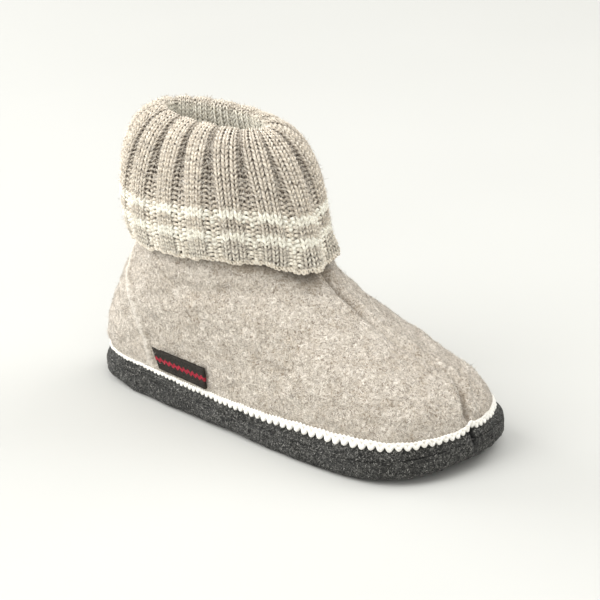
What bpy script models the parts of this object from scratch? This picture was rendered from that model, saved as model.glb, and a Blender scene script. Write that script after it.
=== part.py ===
"""Boiled wool slipper with a turned-down rib-knit cuff, right foot.

Metres, +X to the toe, +Y to the inner side of the foot, +Z up.
The origin lies on the floor under the middle of the sole.
A place around the shoe is a number from 0 to 1: 0 at the back of the heel,
then along the outer side to 0.5 at the toe, and back along the inner side.
"""
from collections import namedtuple

import bmesh
import bpy
import numpy as np

# Driving sizes of the last and the sole; starts and ends are shares of the length
LENGTH = 0.246
BALL_WIDTH = 0.101
TOE_SPRING = 0.007
TOE_SPRING_START = 0.72
ARCH_RISE = 0.0015
ARCH_START = 0.30
ARCH_END = 0.56
HEEL_ROUND = 0.0070
HEEL_ROUND_END = 0.16
SIDE_LIFT = 0.5
FIT_GAP = 0.0003

# Sole layers: heights above the floor at the heel, insets from the outline
OUTSOLE_TOP = 0.0115
RAND_TOP = 0.0187
RAND_WALL = 0.0050
RAND_INSET = 0.0022
OUTSOLE_CROWN = 0.0008
INSOLE_THICK = 0.0050
EDGE_ROUND = 0.0045
CREASE_ROUND = 0.0014

# Upper, its collar and its seams; reaches are shares of the way up the wall
WALL = 0.0030
FOOT_GAP = 0.0007
COLLAR_GAP = 0.0007
COLLAR_CENTRE = -0.043
COLLAR_HALF_LENGTH = 0.051
COLLAR_HALF_WIDTH = 0.032
COLLAR_HEIGHT = 0.106
COLLAR_TILT = 0.04
COLLAR_SHARE = 0.50
SEAM_GROOVE = 0.0012
SEAM_PUFF = 0.0010
SEAM_HALF = 0.0024
SEAM_PUFF_OFFSET = 0.0055
SEAM_ZONE = 0.2
SEAM_BOW = 0.018
SEAM_BOW_AT = 0.29
SEAM_BOW_HALF = 0.13
HEEL_PANEL_FOOT = 0.114
HEEL_PANEL_NARROWS = 0.134
HEEL_PANEL_STEP = 0.0009
HEEL_PANEL_SOFT = 0.020
RELIEF_FULL = 0.06
RELIEF_FADE_START = 0.84
RELIEF_FADE_END = 0.90
RAND_SEAM = 0.0012
RAND_SEAM_SOFT = 0.006

# Rib-knit cuff, sewn to the collar and folded over a crest
KNIT = 0.0030
RIB_COUNT = 16
RIB_HEIGHT = 0.0022
RIB_FADE = 0.5
HEM_RISE = 0.026
CREST_CENTRE = -0.0480
CREST_HALF_LENGTH = 0.0335
CREST_HALF_WIDTH = 0.0150
CREST_HEIGHT = 0.1675
CREST_TILT = -0.04
CREST_ROUND = 0.008
SEAM_RISE = 0.018

# Edging and label
EDGING_GAP = 0.0004
EDGING_THICK = 0.0018
EDGING_LIP = 0.0011
EDGING_BELOW = 0.0032
EDGING_ABOVE = 0.0030
LABEL_START = 0.125
LABEL_END = 0.1925
LABEL_LEAN = 0.008
LABEL_HEIGHT = 0.0125
LABEL_THICK = 0.0010

# How finely the forms are cut
COLUMNS_PER_SIDE = 34
COLUMN_PULL = 0.55
UPPER_ROWS = 13
CAP_STEPS = 4
RIB_STEPS = 4
CUFF_OUTER_ROWS = 8
CUFF_INNER_ROWS = 5
OUTLINE_SAMPLES = 2400
COLLAR_SAMPLES = 721
PROBE = 1.0e-4
LABEL_COLUMNS = 8
LABEL_ROWS = 3

UPRIGHT = np.array([0.0, 0.0, 1.0])
LEVEL = np.array([1.0, 1.0, 0.0])
ROUND_STEPS = np.radians((0.0, 30.0, 60.0, 90.0))

# Sole outline: along is a share of the length, across of the ball width
OutlineRow = namedtuple("OutlineRow", "place along across")
OUTLINE = (
    OutlineRow("heel back", 0.000, 0.000),
    OutlineRow("heel outer corner", 0.037, -0.198),
    OutlineRow("heel outer", 0.152, -0.305),
    OutlineRow("waist outer", 0.420, -0.421),
    OutlineRow("ball outer", 0.708, -0.515),
    OutlineRow("little toe", 0.864, -0.475),
    OutlineRow("toe outer", 0.951, -0.277),
    OutlineRow("toe seam", 0.990, -0.059),
    OutlineRow("toe apex", 1.000, 0.139),
    OutlineRow("toe inner", 0.963, 0.366),
    OutlineRow("big toe", 0.880, 0.470),
    OutlineRow("ball inner", 0.720, 0.485),
    OutlineRow("waist inner", 0.453, 0.337),
    OutlineRow("heel inner", 0.152, 0.300),
    OutlineRow("heel inner corner", 0.037, 0.198),
)
TOE_ROW = [row.place for row in OUTLINE].index("toe seam")

# Rand's top edge: its rise over the height at the heel and its lean in over its foot
RandRow = namedtuple("RandRow", "place around rise lean")
RAND = (
    RandRow("heel back", 0.00, 0.0000, 0.0010),
    RandRow("heel outer", 0.15, -0.0008, 0.0010),
    RandRow("waist outer", 0.27, 0.0004, 0.0010),
    RandRow("ball outer", 0.38, 0.0018, 0.0028),
    RandRow("toe outer", 0.45, 0.0000, 0.0016),
    RandRow("toe seam", 0.50, -0.0006, 0.0026),
    RandRow("toe inner", 0.57, 0.0006, 0.0048),
    RandRow("ball inner", 0.66, 0.0010, 0.0020),
    RandRow("waist inner", 0.75, 0.0004, 0.0010),
    RandRow("heel inner", 0.87, -0.0004, 0.0010),
)

# Upper sections, each an upright curve from the sole edge to the collar:
# rise and flare start it, drop and spread lead it into the collar
SectionRow = namedtuple("SectionRow", "place around rise flare drop spread")
SECTIONS = (
    SectionRow("heel back", 0.00, 0.030, 0.004, 0.038, 0.006),
    SectionRow("heel outer", 0.11, 0.032, 0.003, 0.038, 0.008),
    SectionRow("waist outer", 0.25, 0.034, 0.002, 0.036, 0.012),
    SectionRow("ball outer", 0.37, 0.031, 0.001, 0.044, 0.025),
    SectionRow("toe outer", 0.44, 0.030, -0.001, 0.047, 0.026),
    SectionRow("toe seam", 0.50, 0.031, -0.005, 0.049, 0.026),
    SectionRow("toe inner", 0.56, 0.026, -0.003, 0.048, 0.022),
    SectionRow("ball inner", 0.63, 0.028, 0.000, 0.046, 0.020),
    SectionRow("waist inner", 0.75, 0.034, 0.002, 0.036, 0.012),
    SectionRow("heel inner", 0.89, 0.032, 0.003, 0.038, 0.008),
)

# Turned-down cuff: the hem's place on the upper and how far it stands off,
# then how far the cuff swells above the hem and below the crest
CuffRow = namedtuple("CuffRow", "place around hem stand swell shoulder")
CUFF = (
    CuffRow("back", 0.00, 0.900, 0.0006, 0.011, 0.024),
    CuffRow("outer side", 0.22, 0.925, 0.0006, 0.008, 0.024),
    CuffRow("outer front", 0.36, 0.902, 0.0010, 0.004, 0.025),
    CuffRow("outer corner", 0.45, 0.872, 0.0022, -0.002, 0.026),
    CuffRow("front", 0.50, 0.886, 0.0008, -0.003, 0.026),
    CuffRow("inner corner", 0.55, 0.890, 0.0008, -0.001, 0.026),
    CuffRow("inner front", 0.64, 0.905, 0.0008, 0.004, 0.025),
    CuffRow("inner side", 0.78, 0.925, 0.0006, 0.008, 0.024),
)

# Colours from the photograph, with roughness
MaterialRow = namedtuple("MaterialRow", "red green blue roughness")
MATERIALS = {
    "boiled_wool": MaterialRow(0.50, 0.44, 0.37, 0.95),
    "rib_knit": MaterialRow(0.46, 0.40, 0.33, 0.95),
    "charcoal_felt": MaterialRow(0.055, 0.055, 0.060, 0.95),
    "footbed_felt": MaterialRow(0.42, 0.38, 0.33, 0.95),
    "edging_yarn": MaterialRow(0.85, 0.83, 0.78, 0.90),
    "label_weave": MaterialRow(0.020, 0.016, 0.015, 0.80),
}


def periodic_spline(knots, values, period, at):
    """Smooth closed curve through the values at the knots, read at the places given."""
    knots = np.asarray(knots, float)
    values = np.asarray(values, float)
    count = len(knots)
    step = np.diff(np.append(knots, knots[0] + period))
    before = np.roll(step, 1)
    slope = (np.roll(values, -1, axis=0) - values) / step[:, None]
    matrix = np.zeros((count, count))
    for i in range(count):
        matrix[i, i - 1] += before[i]
        matrix[i, i] += 2.0 * (before[i] + step[i])
        matrix[i, (i + 1) % count] += step[i]
    bend = np.linalg.solve(matrix, 6.0 * (slope - np.roll(slope, 1, axis=0)))
    where = np.mod(np.asarray(at, float) - knots[0], period) + knots[0]
    i = np.searchsorted(knots, where, side="right") - 1
    j = (i + 1) % count
    span = step[i][:, None]
    ahead = (where - knots[i])[:, None]
    back = span - ahead
    curve = (bend[i] * back**3 + bend[j] * ahead**3) / (6.0 * span)
    return curve + (values[i] / span - bend[i] * span / 6.0) * back + (
        values[j] / span - bend[j] * span / 6.0) * ahead


def sample_outline():
    """Outline points, outward normals and places around, close together."""
    corners = np.array([((row.along - 0.5) * LENGTH, row.across * BALL_WIDTH) for row in OUTLINE])
    chord = np.linalg.norm(np.roll(corners, -1, axis=0) - corners, axis=1)
    knots = np.concatenate([[0.0], np.cumsum(chord)[:-1]])
    period = chord.sum()
    at = np.linspace(0.0, period, OUTLINE_SAMPLES, endpoint=False)
    points = periodic_spline(knots, corners, period, at)
    points -= 0.5 * (points.min(axis=0) + points.max(axis=0))
    tangent = np.roll(points, -1, axis=0) - np.roll(points, 1, axis=0)
    tangent /= np.linalg.norm(tangent, axis=1)[:, None]
    normal = np.column_stack([tangent[:, 1], -tangent[:, 0]])
    gone = np.concatenate([[0.0], np.cumsum(np.linalg.norm(np.diff(points, axis=0), axis=1))])
    whole = gone[-1] + np.linalg.norm(points[0] - points[-1])
    toe = np.interp(knots[TOE_ROW], at, gone)
    around = np.where(gone < toe, 0.5 * gone / toe, 0.5 + 0.5 * (gone - toe) / (whole - toe))
    return points, normal, around


OUTLINE_POINTS, OUTLINE_NORMALS, OUTLINE_AROUND = sample_outline()


def read_outline(table, around):
    """One of the outline's columns at the places given."""
    places = np.append(OUTLINE_AROUND, 1.0)
    closed = np.vstack([table, table[:1]])
    around = np.mod(around, 1.0)
    return np.column_stack([np.interp(around, places, closed[:, k]) for k in (0, 1)])


def outline(around, inset=0.0):
    """Sole outline, drawn in by an inset."""
    return read_outline(OUTLINE_POINTS, around) - np.reshape(inset, (-1, 1)) * outward(around)


def outward(around):
    """Level direction pointing out of the sole outline."""
    normal = read_outline(OUTLINE_NORMALS, around)
    return normal / np.linalg.norm(normal, axis=1)[:, None]


def toe_lift(x):
    """Rise of every layer towards the toe."""
    start = (TOE_SPRING_START - 0.5) * LENGTH
    reach = np.clip((x - start) / (0.5 * LENGTH - start), 0.0, None)
    return TOE_SPRING * reach**2


def underside_lift(x):
    """Rise of the underside at the waist and at the back of the heel."""
    along = x / LENGTH + 0.5
    arch = np.clip((along - ARCH_START) / (ARCH_END - ARCH_START), 0.0, 1.0)
    heel = np.clip((HEEL_ROUND_END - along) / HEEL_ROUND_END, 0.0, 1.0)
    return ARCH_RISE * np.sin(np.pi * arch)**2 + HEEL_ROUND * heel**2


def layer_ring(around, inset, height, underside=0.0):
    """Closed ring of a sole layer: an inset outline at a height above the floor."""
    flat = outline(around, inset)
    lift = toe_lift(flat[:, 0]) + underside * underside_lift(flat[:, 0])
    return np.column_stack([flat, height + lift])


def rand_edge(around):
    """Height of the rand's top edge before the toe spring, and its lean."""
    knots = [row.around for row in RAND]
    rise, lean = periodic_spline(knots, [(row.rise, row.lean) for row in RAND], 1.0, around).T
    return RAND_TOP + rise, lean


def rand_ring(around, drop, out=0.0):
    """Closed ring on the rand's outer face, a drop below its top edge and moved out by a distance."""
    top, lean = rand_edge(around)
    full_drop = top - OUTSOLE_TOP - FIT_GAP - CREASE_ROUND
    return layer_ring(around, RAND_INSET + lean * (1.0 - drop / full_drop) - out, top - drop)


def unit(vectors):
    """Vectors of length one."""
    return vectors / np.linalg.norm(vectors, axis=-1)[..., None]


def in_space(flat):
    """Level directions as directions in space."""
    return np.column_stack([flat, np.zeros(len(flat))])


def collar_place(around):
    """Share of the collar's round that belongs to a place around the sole."""
    around = np.asarray(around, float)
    return around + COLLAR_SHARE * np.sin(2.0 * np.pi * around) / (2.0 * np.pi)


def around_at_collar(share):
    """Place around the sole that belongs to a share of the collar's round."""
    table = np.linspace(0.0, 1.0, COLLAR_SAMPLES)
    return np.interp(share, collar_place(table), table)


def oval(around, centre, half_length, half_width, height, tilt=0.0):
    """Closed level oval above the heel, and its outward directions."""
    turn = 2.0 * np.pi * collar_place(around)
    along = -np.cos(turn)
    across = -np.sin(turn)
    x = centre + half_length * along
    points = np.column_stack([x, half_width * across, height + tilt * (x - centre)])
    normals = unit(np.column_stack([along / half_length, across / half_width]))
    return points, in_space(normals)


def bezier(ends, up):
    """Curves with four guide points each, one column per curve, one row per share."""
    up = np.asarray(up, float)[:, None, None]
    down = 1.0 - up
    a, b, c, d = ends
    return down**3 * a + 3.0 * down**2 * up * b + 3.0 * down * up**2 * c + up**3 * d


def upper_form(around, up):
    """Plain outer face of the upper, without its seams: rows up, columns around."""
    knots = [row.around for row in SECTIONS]
    sizes = [(row.rise, row.flare, row.drop, row.spread) for row in SECTIONS]
    rise, flare, drop, spread = periodic_spline(knots, sizes, 1.0, around).T[:, :, None]
    foot = rand_ring(around, 0.0) + FOOT_GAP * UPRIGHT
    out = in_space(outward(around))
    collar, collar_out = oval(around, COLLAR_CENTRE, COLLAR_HALF_LENGTH, COLLAR_HALF_WIDTH,
                              COLLAR_HEIGHT, COLLAR_TILT)
    over_foot = foot + flare * out + rise * UPRIGHT
    under_collar = collar + spread * collar_out - drop * UPRIGHT
    return bezier((foot, over_foot, under_collar, collar), up)


def upper_frame(around, up):
    """Outer face of the upper with its outward and upward directions."""
    around = np.asarray(around, float)
    up = np.asarray(up, float)
    points = upper_form(around, up)
    climb = unit(upper_form(around, up + PROBE) - upper_form(around, up - PROBE))
    sweep = upper_form(around + PROBE, up) - upper_form(around - PROBE, up)
    return points, unit(np.cross(sweep, climb)), climb


def upper_places(around, up):
    """Outer face of the upper and its outward directions, one reach for each place around."""
    grids = upper_frame(around, up)[:2]
    same = np.arange(len(around))
    return [grid[same, same] for grid in grids]


def seam_bow(reach):
    """How far the front seam bows to the inner side, most over the toe."""
    return SEAM_BOW * np.exp(-((reach - SEAM_BOW_AT) / SEAM_BOW_HALF)**2)


def seam_relief(points, seam):
    """Groove between two soft welts beside a point of the front seam."""
    away = np.linalg.norm(points - seam, axis=1)
    groove = np.exp(-(away / SEAM_HALF)**2)
    welt = np.exp(-((away - SEAM_PUFF_OFFSET) / SEAM_HALF)**2)
    return SEAM_PUFF * welt - SEAM_GROOVE * groove


def heel_panel(around, reach):
    """Height of the heel panel, which lies a step proud of the sides and narrows to the cuff."""
    from_back = np.minimum(around, 1.0 - around)
    edge = HEEL_PANEL_FOOT - HEEL_PANEL_NARROWS * reach**2
    return HEEL_PANEL_STEP * np.clip((edge - from_back) / HEEL_PANEL_SOFT + 0.5, 0.0, 1.0)


def upper_row(around, reach, out):
    """One level of the upper's outer face with its seams; columns near the front follow the seam."""
    beside = np.clip(1.0 - np.abs(around - 0.5) / SEAM_ZONE, 0.0, 1.0)
    places = around + seam_bow(reach) * beside
    points, normal, _ = (grid[0] for grid in upper_frame(places, [reach]))
    seam = upper_form(np.array([0.5 + seam_bow(reach)]), [reach])[0]
    relief = np.where(beside > 0.0, seam_relief(points, seam), heel_panel(places, reach))
    fade = min(reach / RELIEF_FULL, (RELIEF_FADE_END - reach) / (RELIEF_FADE_END - RELIEF_FADE_START))
    return points + (relief * np.clip(fade, 0.0, 1.0) + out)[:, None] * normal


def upper_face(around, up, out=0.0):
    """Outer face of the upper with its seams, which run from edging to cuff, moved out by a distance."""
    return np.stack([upper_row(np.asarray(around, float), reach, out) for reach in up])


def side_places():
    """Places around the shoe, close together beside the front seam and the heel."""
    even = np.linspace(0.0, 0.5, COLUMNS_PER_SIDE + 1)
    outer = even - COLUMN_PULL * np.sin(4.0 * np.pi * even) / (4.0 * np.pi)
    return np.concatenate([outer[:-1], 1.0 - outer[:0:-1]])


def loft(rings, closed_profile):
    """Mesh between rings of equal count; a closed profile joins the last ring to the first."""
    form = bmesh.new()
    rows = [[form.verts.new(point) for point in ring] for ring in rings]
    pairs = list(zip(rows, rows[1:]))
    if closed_profile:
        pairs.append((rows[-1], rows[0]))
    for low, high in pairs:
        for i in range(len(low)):
            j = (i + 1) % len(low)
            form.faces.new((low[i], low[j], high[j], high[i]))
    return form, rows


def cap(form, ring, height_of, facing_up):
    """Close a ring with cross rows from the outer side to the inner side."""
    half = len(ring) // 2
    crossings = [[ring[0]]]
    for i in range(1, half):
        left, right = ring[i], ring[-i]
        row = [left]
        for k in range(1, CAP_STEPS):
            point = left.co.lerp(right.co, k / CAP_STEPS)
            point.z = height_of(point.x)
            row.append(form.verts.new(point))
        row.append(right)
        crossings.append(row)
    crossings.append([ring[half]])
    for back, front in zip(crossings, crossings[1:]):
        for k in range(max(len(back), len(front)) - 1):
            corners = [back[min(k, len(back) - 1)], front[min(k, len(front) - 1)],
                       front[min(k + 1, len(front) - 1)], back[min(k + 1, len(back) - 1)]]
            corners = list(dict.fromkeys(corners))
            form.faces.new(corners if facing_up else corners[::-1])


def add_object(name, form, material):
    """Named object from a built form, with its material, in the slipper's collection."""
    bmesh.ops.recalc_face_normals(form, faces=form.faces)
    mesh = bpy.data.meshes.new(name)
    form.to_mesh(mesh)
    form.free()
    mesh.shade_smooth()
    piece = bpy.data.objects.new(name, mesh)
    piece.data.materials.append(material)
    SLIPPER.objects.link(piece)
    return piece


def add_wall(piece, thickness):
    """Give an open face its thickness, inwards."""
    wall = piece.modifiers.new("wall", "SOLIDIFY")
    wall.thickness = thickness
    wall.offset = -1.0
    wall.use_rim = True


def make_material(name, row):
    """Rough coloured material."""
    material = bpy.data.materials.new(name)
    material.use_nodes = True
    shader = material.node_tree.nodes["Principled BSDF"]
    shader.inputs["Base Color"].default_value = (row.red, row.green, row.blue, 1.0)
    shader.inputs["Roughness"].default_value = row.roughness
    shader.inputs["Metallic"].default_value = 0.0
    return material


def build_outsole(places):
    """Felt slab with a rounded lower edge, a soft crown at its side and a crease on top."""
    rings = [layer_ring(places, EDGE_ROUND * (1.0 - np.sin(turn)), EDGE_ROUND * (1.0 - np.cos(turn)),
                        underside=SIDE_LIFT + (1.0 - SIDE_LIFT) * np.cos(turn)) for turn in ROUND_STEPS]
    rings.append(layer_ring(places, OUTSOLE_CROWN, OUTSOLE_TOP - CREASE_ROUND))
    rings.append(layer_ring(places, OUTSOLE_CROWN + CREASE_ROUND, OUTSOLE_TOP))
    form, rows = loft(rings, False)
    cap(form, rows[0], lambda x: float(toe_lift(x) + underside_lift(x)), False)
    cap(form, rows[-1], lambda x: float(OUTSOLE_TOP + toe_lift(x)), True)
    return add_object("outsole", form, FINISH["charcoal_felt"])


def build_rand(places):
    """Felt band round the outsole's top edge, creased at its foot, with a seam at the toe."""
    foot = OUTSOLE_TOP + FIT_GAP
    top, lean = rand_edge(places)
    inner = RAND_INSET + lean + RAND_WALL
    seam = RAND_SEAM * np.exp(-((places - 0.5) / RAND_SEAM_SOFT)**2)
    rings = [
        layer_ring(places, RAND_INSET + CREASE_ROUND + seam, foot),
        layer_ring(places, RAND_INSET + seam, foot + CREASE_ROUND),
        rand_ring(places, 0.0, -seam),
        layer_ring(places, inner, top),
        layer_ring(places, inner, foot),
    ]
    form, _ = loft(rings, True)
    return add_object("rand", form, FINISH["charcoal_felt"])


def build_insole(places):
    """Footbed inside the rand."""
    foot = OUTSOLE_TOP + FIT_GAP
    top = foot + INSOLE_THICK
    inset = RAND_INSET + rand_edge(places)[1] + RAND_WALL + FIT_GAP
    rings = [layer_ring(places, inset, foot),
             layer_ring(places, inset, top - CREASE_ROUND),
             layer_ring(places, inset + CREASE_ROUND, top)]
    form, rows = loft(rings, False)
    cap(form, rows[0], lambda x: float(foot + toe_lift(x)), False)
    cap(form, rows[-1], lambda x: float(top + toe_lift(x)), True)
    return add_object("insole", form, FINISH["footbed_felt"])


def build_upper(places):
    """Hollow wall from the rand to the collar."""
    form, _ = loft(upper_face(places, np.linspace(0.0, 1.0, UPPER_ROWS)), False)
    piece = add_object("upper", form, FINISH["boiled_wool"])
    add_wall(piece, WALL)
    return piece


def cuff_rings():
    """Knit rings from the hem up outside, over the crest and down inside to the collar."""
    share = np.arange(RIB_COUNT * RIB_STEPS) / (RIB_COUNT * RIB_STEPS)
    places = around_at_collar(share)
    sizes = [(row.hem, row.stand, row.swell, row.shoulder) for row in CUFF]
    reach, stand, swell, shoulder = periodic_spline([row.around for row in CUFF], sizes, 1.0, places).T
    rib = RIB_HEIGHT * (0.5 - 0.5 * np.cos(2.0 * np.pi * RIB_COUNT * share))
    hem, hem_out = upper_places(places, reach)
    hem = hem + (stand + KNIT)[:, None] * hem_out
    crest, crest_out = oval(places, CREST_CENTRE, CREST_HALF_LENGTH, CREST_HALF_WIDTH,
                            CREST_HEIGHT, CREST_TILT)
    collar, collar_out, collar_up = (grid[0] for grid in upper_frame(places, [1.0]))
    seam = collar - WALL * collar_out + COLLAR_GAP * collar_up
    level_out = unit(hem_out * LEVEL)
    over_hem = hem + HEM_RISE * UPRIGHT + swell[:, None] * level_out
    outer = bezier((hem, over_hem, crest + shoulder[:, None] * crest_out, crest),
                   np.linspace(0.0, 1.0, CUFF_OUTER_ROWS + 1))
    inner = bezier((crest, crest - CREST_ROUND * crest_out, seam + SEAM_RISE * collar_up, seam),
                   np.linspace(0.0, 1.0, CUFF_INNER_ROWS + 1))
    strength = np.linspace(1.0, RIB_FADE, CUFF_OUTER_ROWS + 1)
    outer = outer + (strength[:, None] * rib[None, :])[..., None] * level_out
    return list(outer) + list(inner[1:])


def build_cuff():
    """Knitted tube, folded over."""
    form, _ = loft(cuff_rings(), False)
    piece = add_object("cuff", form, FINISH["rib_knit"])
    add_wall(piece, KNIT)
    return piece


def edge_reach(height):
    """Share of the way up the upper at a small height above its foot."""
    mean_rise = np.mean([row.rise for row in SECTIONS])
    return height / (3.0 * mean_rise)


def build_edging(places):
    """Raised yarn edging over the joint of the rand and the upper."""
    top = [edge_reach(EDGING_ABOVE)]
    rings = [
        rand_ring(places, EDGING_BELOW, EDGING_GAP),
        rand_ring(places, 0.0, EDGING_GAP),
        upper_face(places, top, EDGING_GAP)[0],
        upper_face(places, top, EDGING_GAP + EDGING_LIP)[0],
        rand_ring(places, 0.0, EDGING_GAP + EDGING_THICK),
        rand_ring(places, EDGING_BELOW, EDGING_GAP + EDGING_LIP),
    ]
    form, _ = loft(rings, True)
    return add_object("edging", form, FINISH["edging_yarn"])


def build_label():
    """Blank woven tab on the outer heel side, standing on the edging."""
    up = edge_reach(np.linspace(EDGING_ABOVE + FIT_GAP, EDGING_ABOVE + LABEL_HEIGHT, LABEL_ROWS + 1))
    form = bmesh.new()
    rows = []
    for k, reach in enumerate(up):
        lean = LABEL_LEAN * k / LABEL_ROWS
        places = np.linspace(LABEL_START - lean, LABEL_END, LABEL_COLUMNS + 1)
        line = upper_face(places, [reach], EDGING_GAP + LABEL_THICK)[0]
        rows.append([form.verts.new(point) for point in line])
    for lower, higher in zip(rows, rows[1:]):
        for i in range(LABEL_COLUMNS):
            form.faces.new((lower[i], lower[i + 1], higher[i + 1], higher[i]))
    piece = add_object("label_tab", form, FINISH["label_weave"])
    add_wall(piece, LABEL_THICK)
    return piece


def clear_scene():
    """Empty the scene of earlier objects."""
    for item in list(bpy.data.objects):
        bpy.data.objects.remove(item, do_unlink=True)


clear_scene()
SLIPPER = bpy.data.collections.new("boiled_wool_slipper")
bpy.context.scene.collection.children.link(SLIPPER)
FINISH = {name: make_material(name, row) for name, row in MATERIALS.items()}
PLACES = side_places()
build_outsole(PLACES)
build_rand(PLACES)
build_insole(PLACES)
build_upper(PLACES)
build_cuff()
build_edging(PLACES)
build_label()
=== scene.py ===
"""Boiled wool slipper, right foot: felt, knit and yarn laid over its solids.

Metres, +X to the toe, +Y to the inner side of the foot, +Z up.
A place around the shoe is a number from 0 to 1: 0 at the back of the heel,
then along the outer side to 0.5 at the toe, and back along the inner side.
Up on the upper runs from 0 at the edging to 1 at the collar. Reach on the cuff
runs from 0 at its hem to 1 at its crest and 2 at the collar inside.
"""

from collections import namedtuple

import bpy
import numpy as np
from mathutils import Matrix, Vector


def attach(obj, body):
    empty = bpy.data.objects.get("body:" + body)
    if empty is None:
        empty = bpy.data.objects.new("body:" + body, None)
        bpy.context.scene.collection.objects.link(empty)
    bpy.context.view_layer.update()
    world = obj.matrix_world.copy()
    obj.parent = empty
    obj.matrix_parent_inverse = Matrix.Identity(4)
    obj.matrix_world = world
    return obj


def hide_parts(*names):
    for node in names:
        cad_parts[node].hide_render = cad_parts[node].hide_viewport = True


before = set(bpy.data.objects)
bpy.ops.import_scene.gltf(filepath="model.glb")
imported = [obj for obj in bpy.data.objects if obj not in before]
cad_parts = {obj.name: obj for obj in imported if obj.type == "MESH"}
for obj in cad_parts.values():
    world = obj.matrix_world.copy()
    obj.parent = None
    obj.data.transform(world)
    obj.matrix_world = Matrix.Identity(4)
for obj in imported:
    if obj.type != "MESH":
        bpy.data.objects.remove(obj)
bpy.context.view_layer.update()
RANDOM = np.random.default_rng(20)
MM = 0.001
TURN = 2.0 * np.pi
UPRIGHT = np.array([0.0, 0.0, 1.0])

Bump = namedtuple("Bump", "at half size")
Slope = namedtuple("Slope", "start span")
Swell = namedtuple("Swell", "size shortest longest count seed")
Oval = namedtuple("Oval", "centre half_length half_width height tilt")


def named_rows(fields, *rows):
    """Table with a name for each column."""
    row = namedtuple("Row", fields)
    return [row(*values) for values in rows]


# Sizes shared with the solids
LENGTH = 0.246
BALL_WIDTH = 0.101
TOE_SPRING = 0.007
TOE_SPRING_START = 0.72
ARCH_RISE = 0.0015
ARCH_START = 0.30
ARCH_END = 0.56
HEEL_ROUND = 0.0070
HEEL_ROUND_END = 0.16
SIDE_LIFT = 0.5
FIT_GAP = 0.0003
OUTSOLE_TOP = 0.0115
RAND_TOP = 0.0187
RAND_WALL = 0.0050
RAND_INSET = 0.0022
OUTSOLE_CROWN = 0.0008
INSOLE_THICK = 0.0050
EDGE_ROUND = 0.0045
CREASE_ROUND = 0.0014
WALL = 0.0030
FOOT_GAP = 0.0007
COLLAR_GAP = 0.0007
COLLAR = Oval(-0.043, 0.051, 0.032, 0.106, 0.04)
COLLAR_SHARE = 0.50
SEAM_BOW = 0.018
SEAM_BOW_AT = 0.29
SEAM_BOW_HALF = 0.13
HEEL_PANEL_FOOT = 0.114
HEEL_PANEL_NARROWS = 0.134
HEEL_PANEL_STEP = 0.0009
KNIT = 0.0030
RIB_COUNT = 16
RIB_HEIGHT = 0.0022
HEM_RISE = 0.026
CREST = Oval(-0.0480, 0.0335, 0.0150, 0.1675, -0.04)
CREST_ROUND = 0.008
SEAM_RISE = 0.018
EDGING_GAP = 0.0004
EDGING_ABOVE = 0.0030
LABEL_START = 0.125
LABEL_END = 0.1925
LABEL_LEAN = 0.008
LABEL_HEIGHT = 0.0125

OUTLINE = named_rows(
    "place along across",
    ("heel back", 0.000, 0.000),
    ("heel outer corner", 0.037, -0.198),
    ("heel outer", 0.152, -0.305),
    ("waist outer", 0.420, -0.421),
    ("ball outer", 0.708, -0.515),
    ("little toe", 0.864, -0.475),
    ("toe outer", 0.951, -0.277),
    ("toe seam", 0.990, -0.059),
    ("toe apex", 1.000, 0.139),
    ("toe inner", 0.963, 0.366),
    ("big toe", 0.880, 0.470),
    ("ball inner", 0.720, 0.485),
    ("waist inner", 0.453, 0.337),
    ("heel inner", 0.152, 0.300),
    ("heel inner corner", 0.037, 0.198),
)
TOE_ROW = [row.place for row in OUTLINE].index("toe seam")

RAND = named_rows(
    "place around rise lean",
    ("heel back", 0.00, 0.0000, 0.0010),
    ("heel outer", 0.15, -0.0008, 0.0010),
    ("waist outer", 0.27, 0.0004, 0.0010),
    ("ball outer", 0.38, 0.0018, 0.0028),
    ("toe outer", 0.45, 0.0000, 0.0016),
    ("toe seam", 0.50, -0.0006, 0.0026),
    ("toe inner", 0.57, 0.0006, 0.0048),
    ("ball inner", 0.66, 0.0010, 0.0020),
    ("waist inner", 0.75, 0.0004, 0.0010),
    ("heel inner", 0.87, -0.0004, 0.0010),
)

SECTIONS = named_rows(
    "place around rise flare drop spread",
    ("heel back", 0.00, 0.030, 0.004, 0.038, 0.006),
    ("heel outer", 0.11, 0.032, 0.003, 0.038, 0.008),
    ("waist outer", 0.25, 0.034, 0.002, 0.036, 0.012),
    ("ball outer", 0.37, 0.031, 0.001, 0.044, 0.025),
    ("toe outer", 0.44, 0.030, -0.001, 0.047, 0.026),
    ("toe seam", 0.50, 0.031, -0.005, 0.049, 0.026),
    ("toe inner", 0.56, 0.026, -0.003, 0.048, 0.022),
    ("ball inner", 0.63, 0.028, 0.000, 0.046, 0.020),
    ("waist inner", 0.75, 0.034, 0.002, 0.036, 0.012),
    ("heel inner", 0.89, 0.032, 0.003, 0.038, 0.008),
)

CUFF = named_rows(
    "place around hem stand swell shoulder",
    ("back", 0.00, 0.900, 0.0006, 0.011, 0.024),
    ("outer side", 0.22, 0.925, 0.0006, 0.008, 0.024),
    ("outer front", 0.36, 0.902, 0.0010, 0.004, 0.025),
    ("outer corner", 0.45, 0.872, 0.0022, -0.002, 0.026),
    ("front", 0.50, 0.886, 0.0008, -0.003, 0.026),
    ("inner corner", 0.55, 0.890, 0.0008, -0.001, 0.026),
    ("inner front", 0.64, 0.905, 0.0008, 0.004, 0.025),
    ("inner side", 0.78, 0.925, 0.0006, 0.008, 0.024),
)
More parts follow.
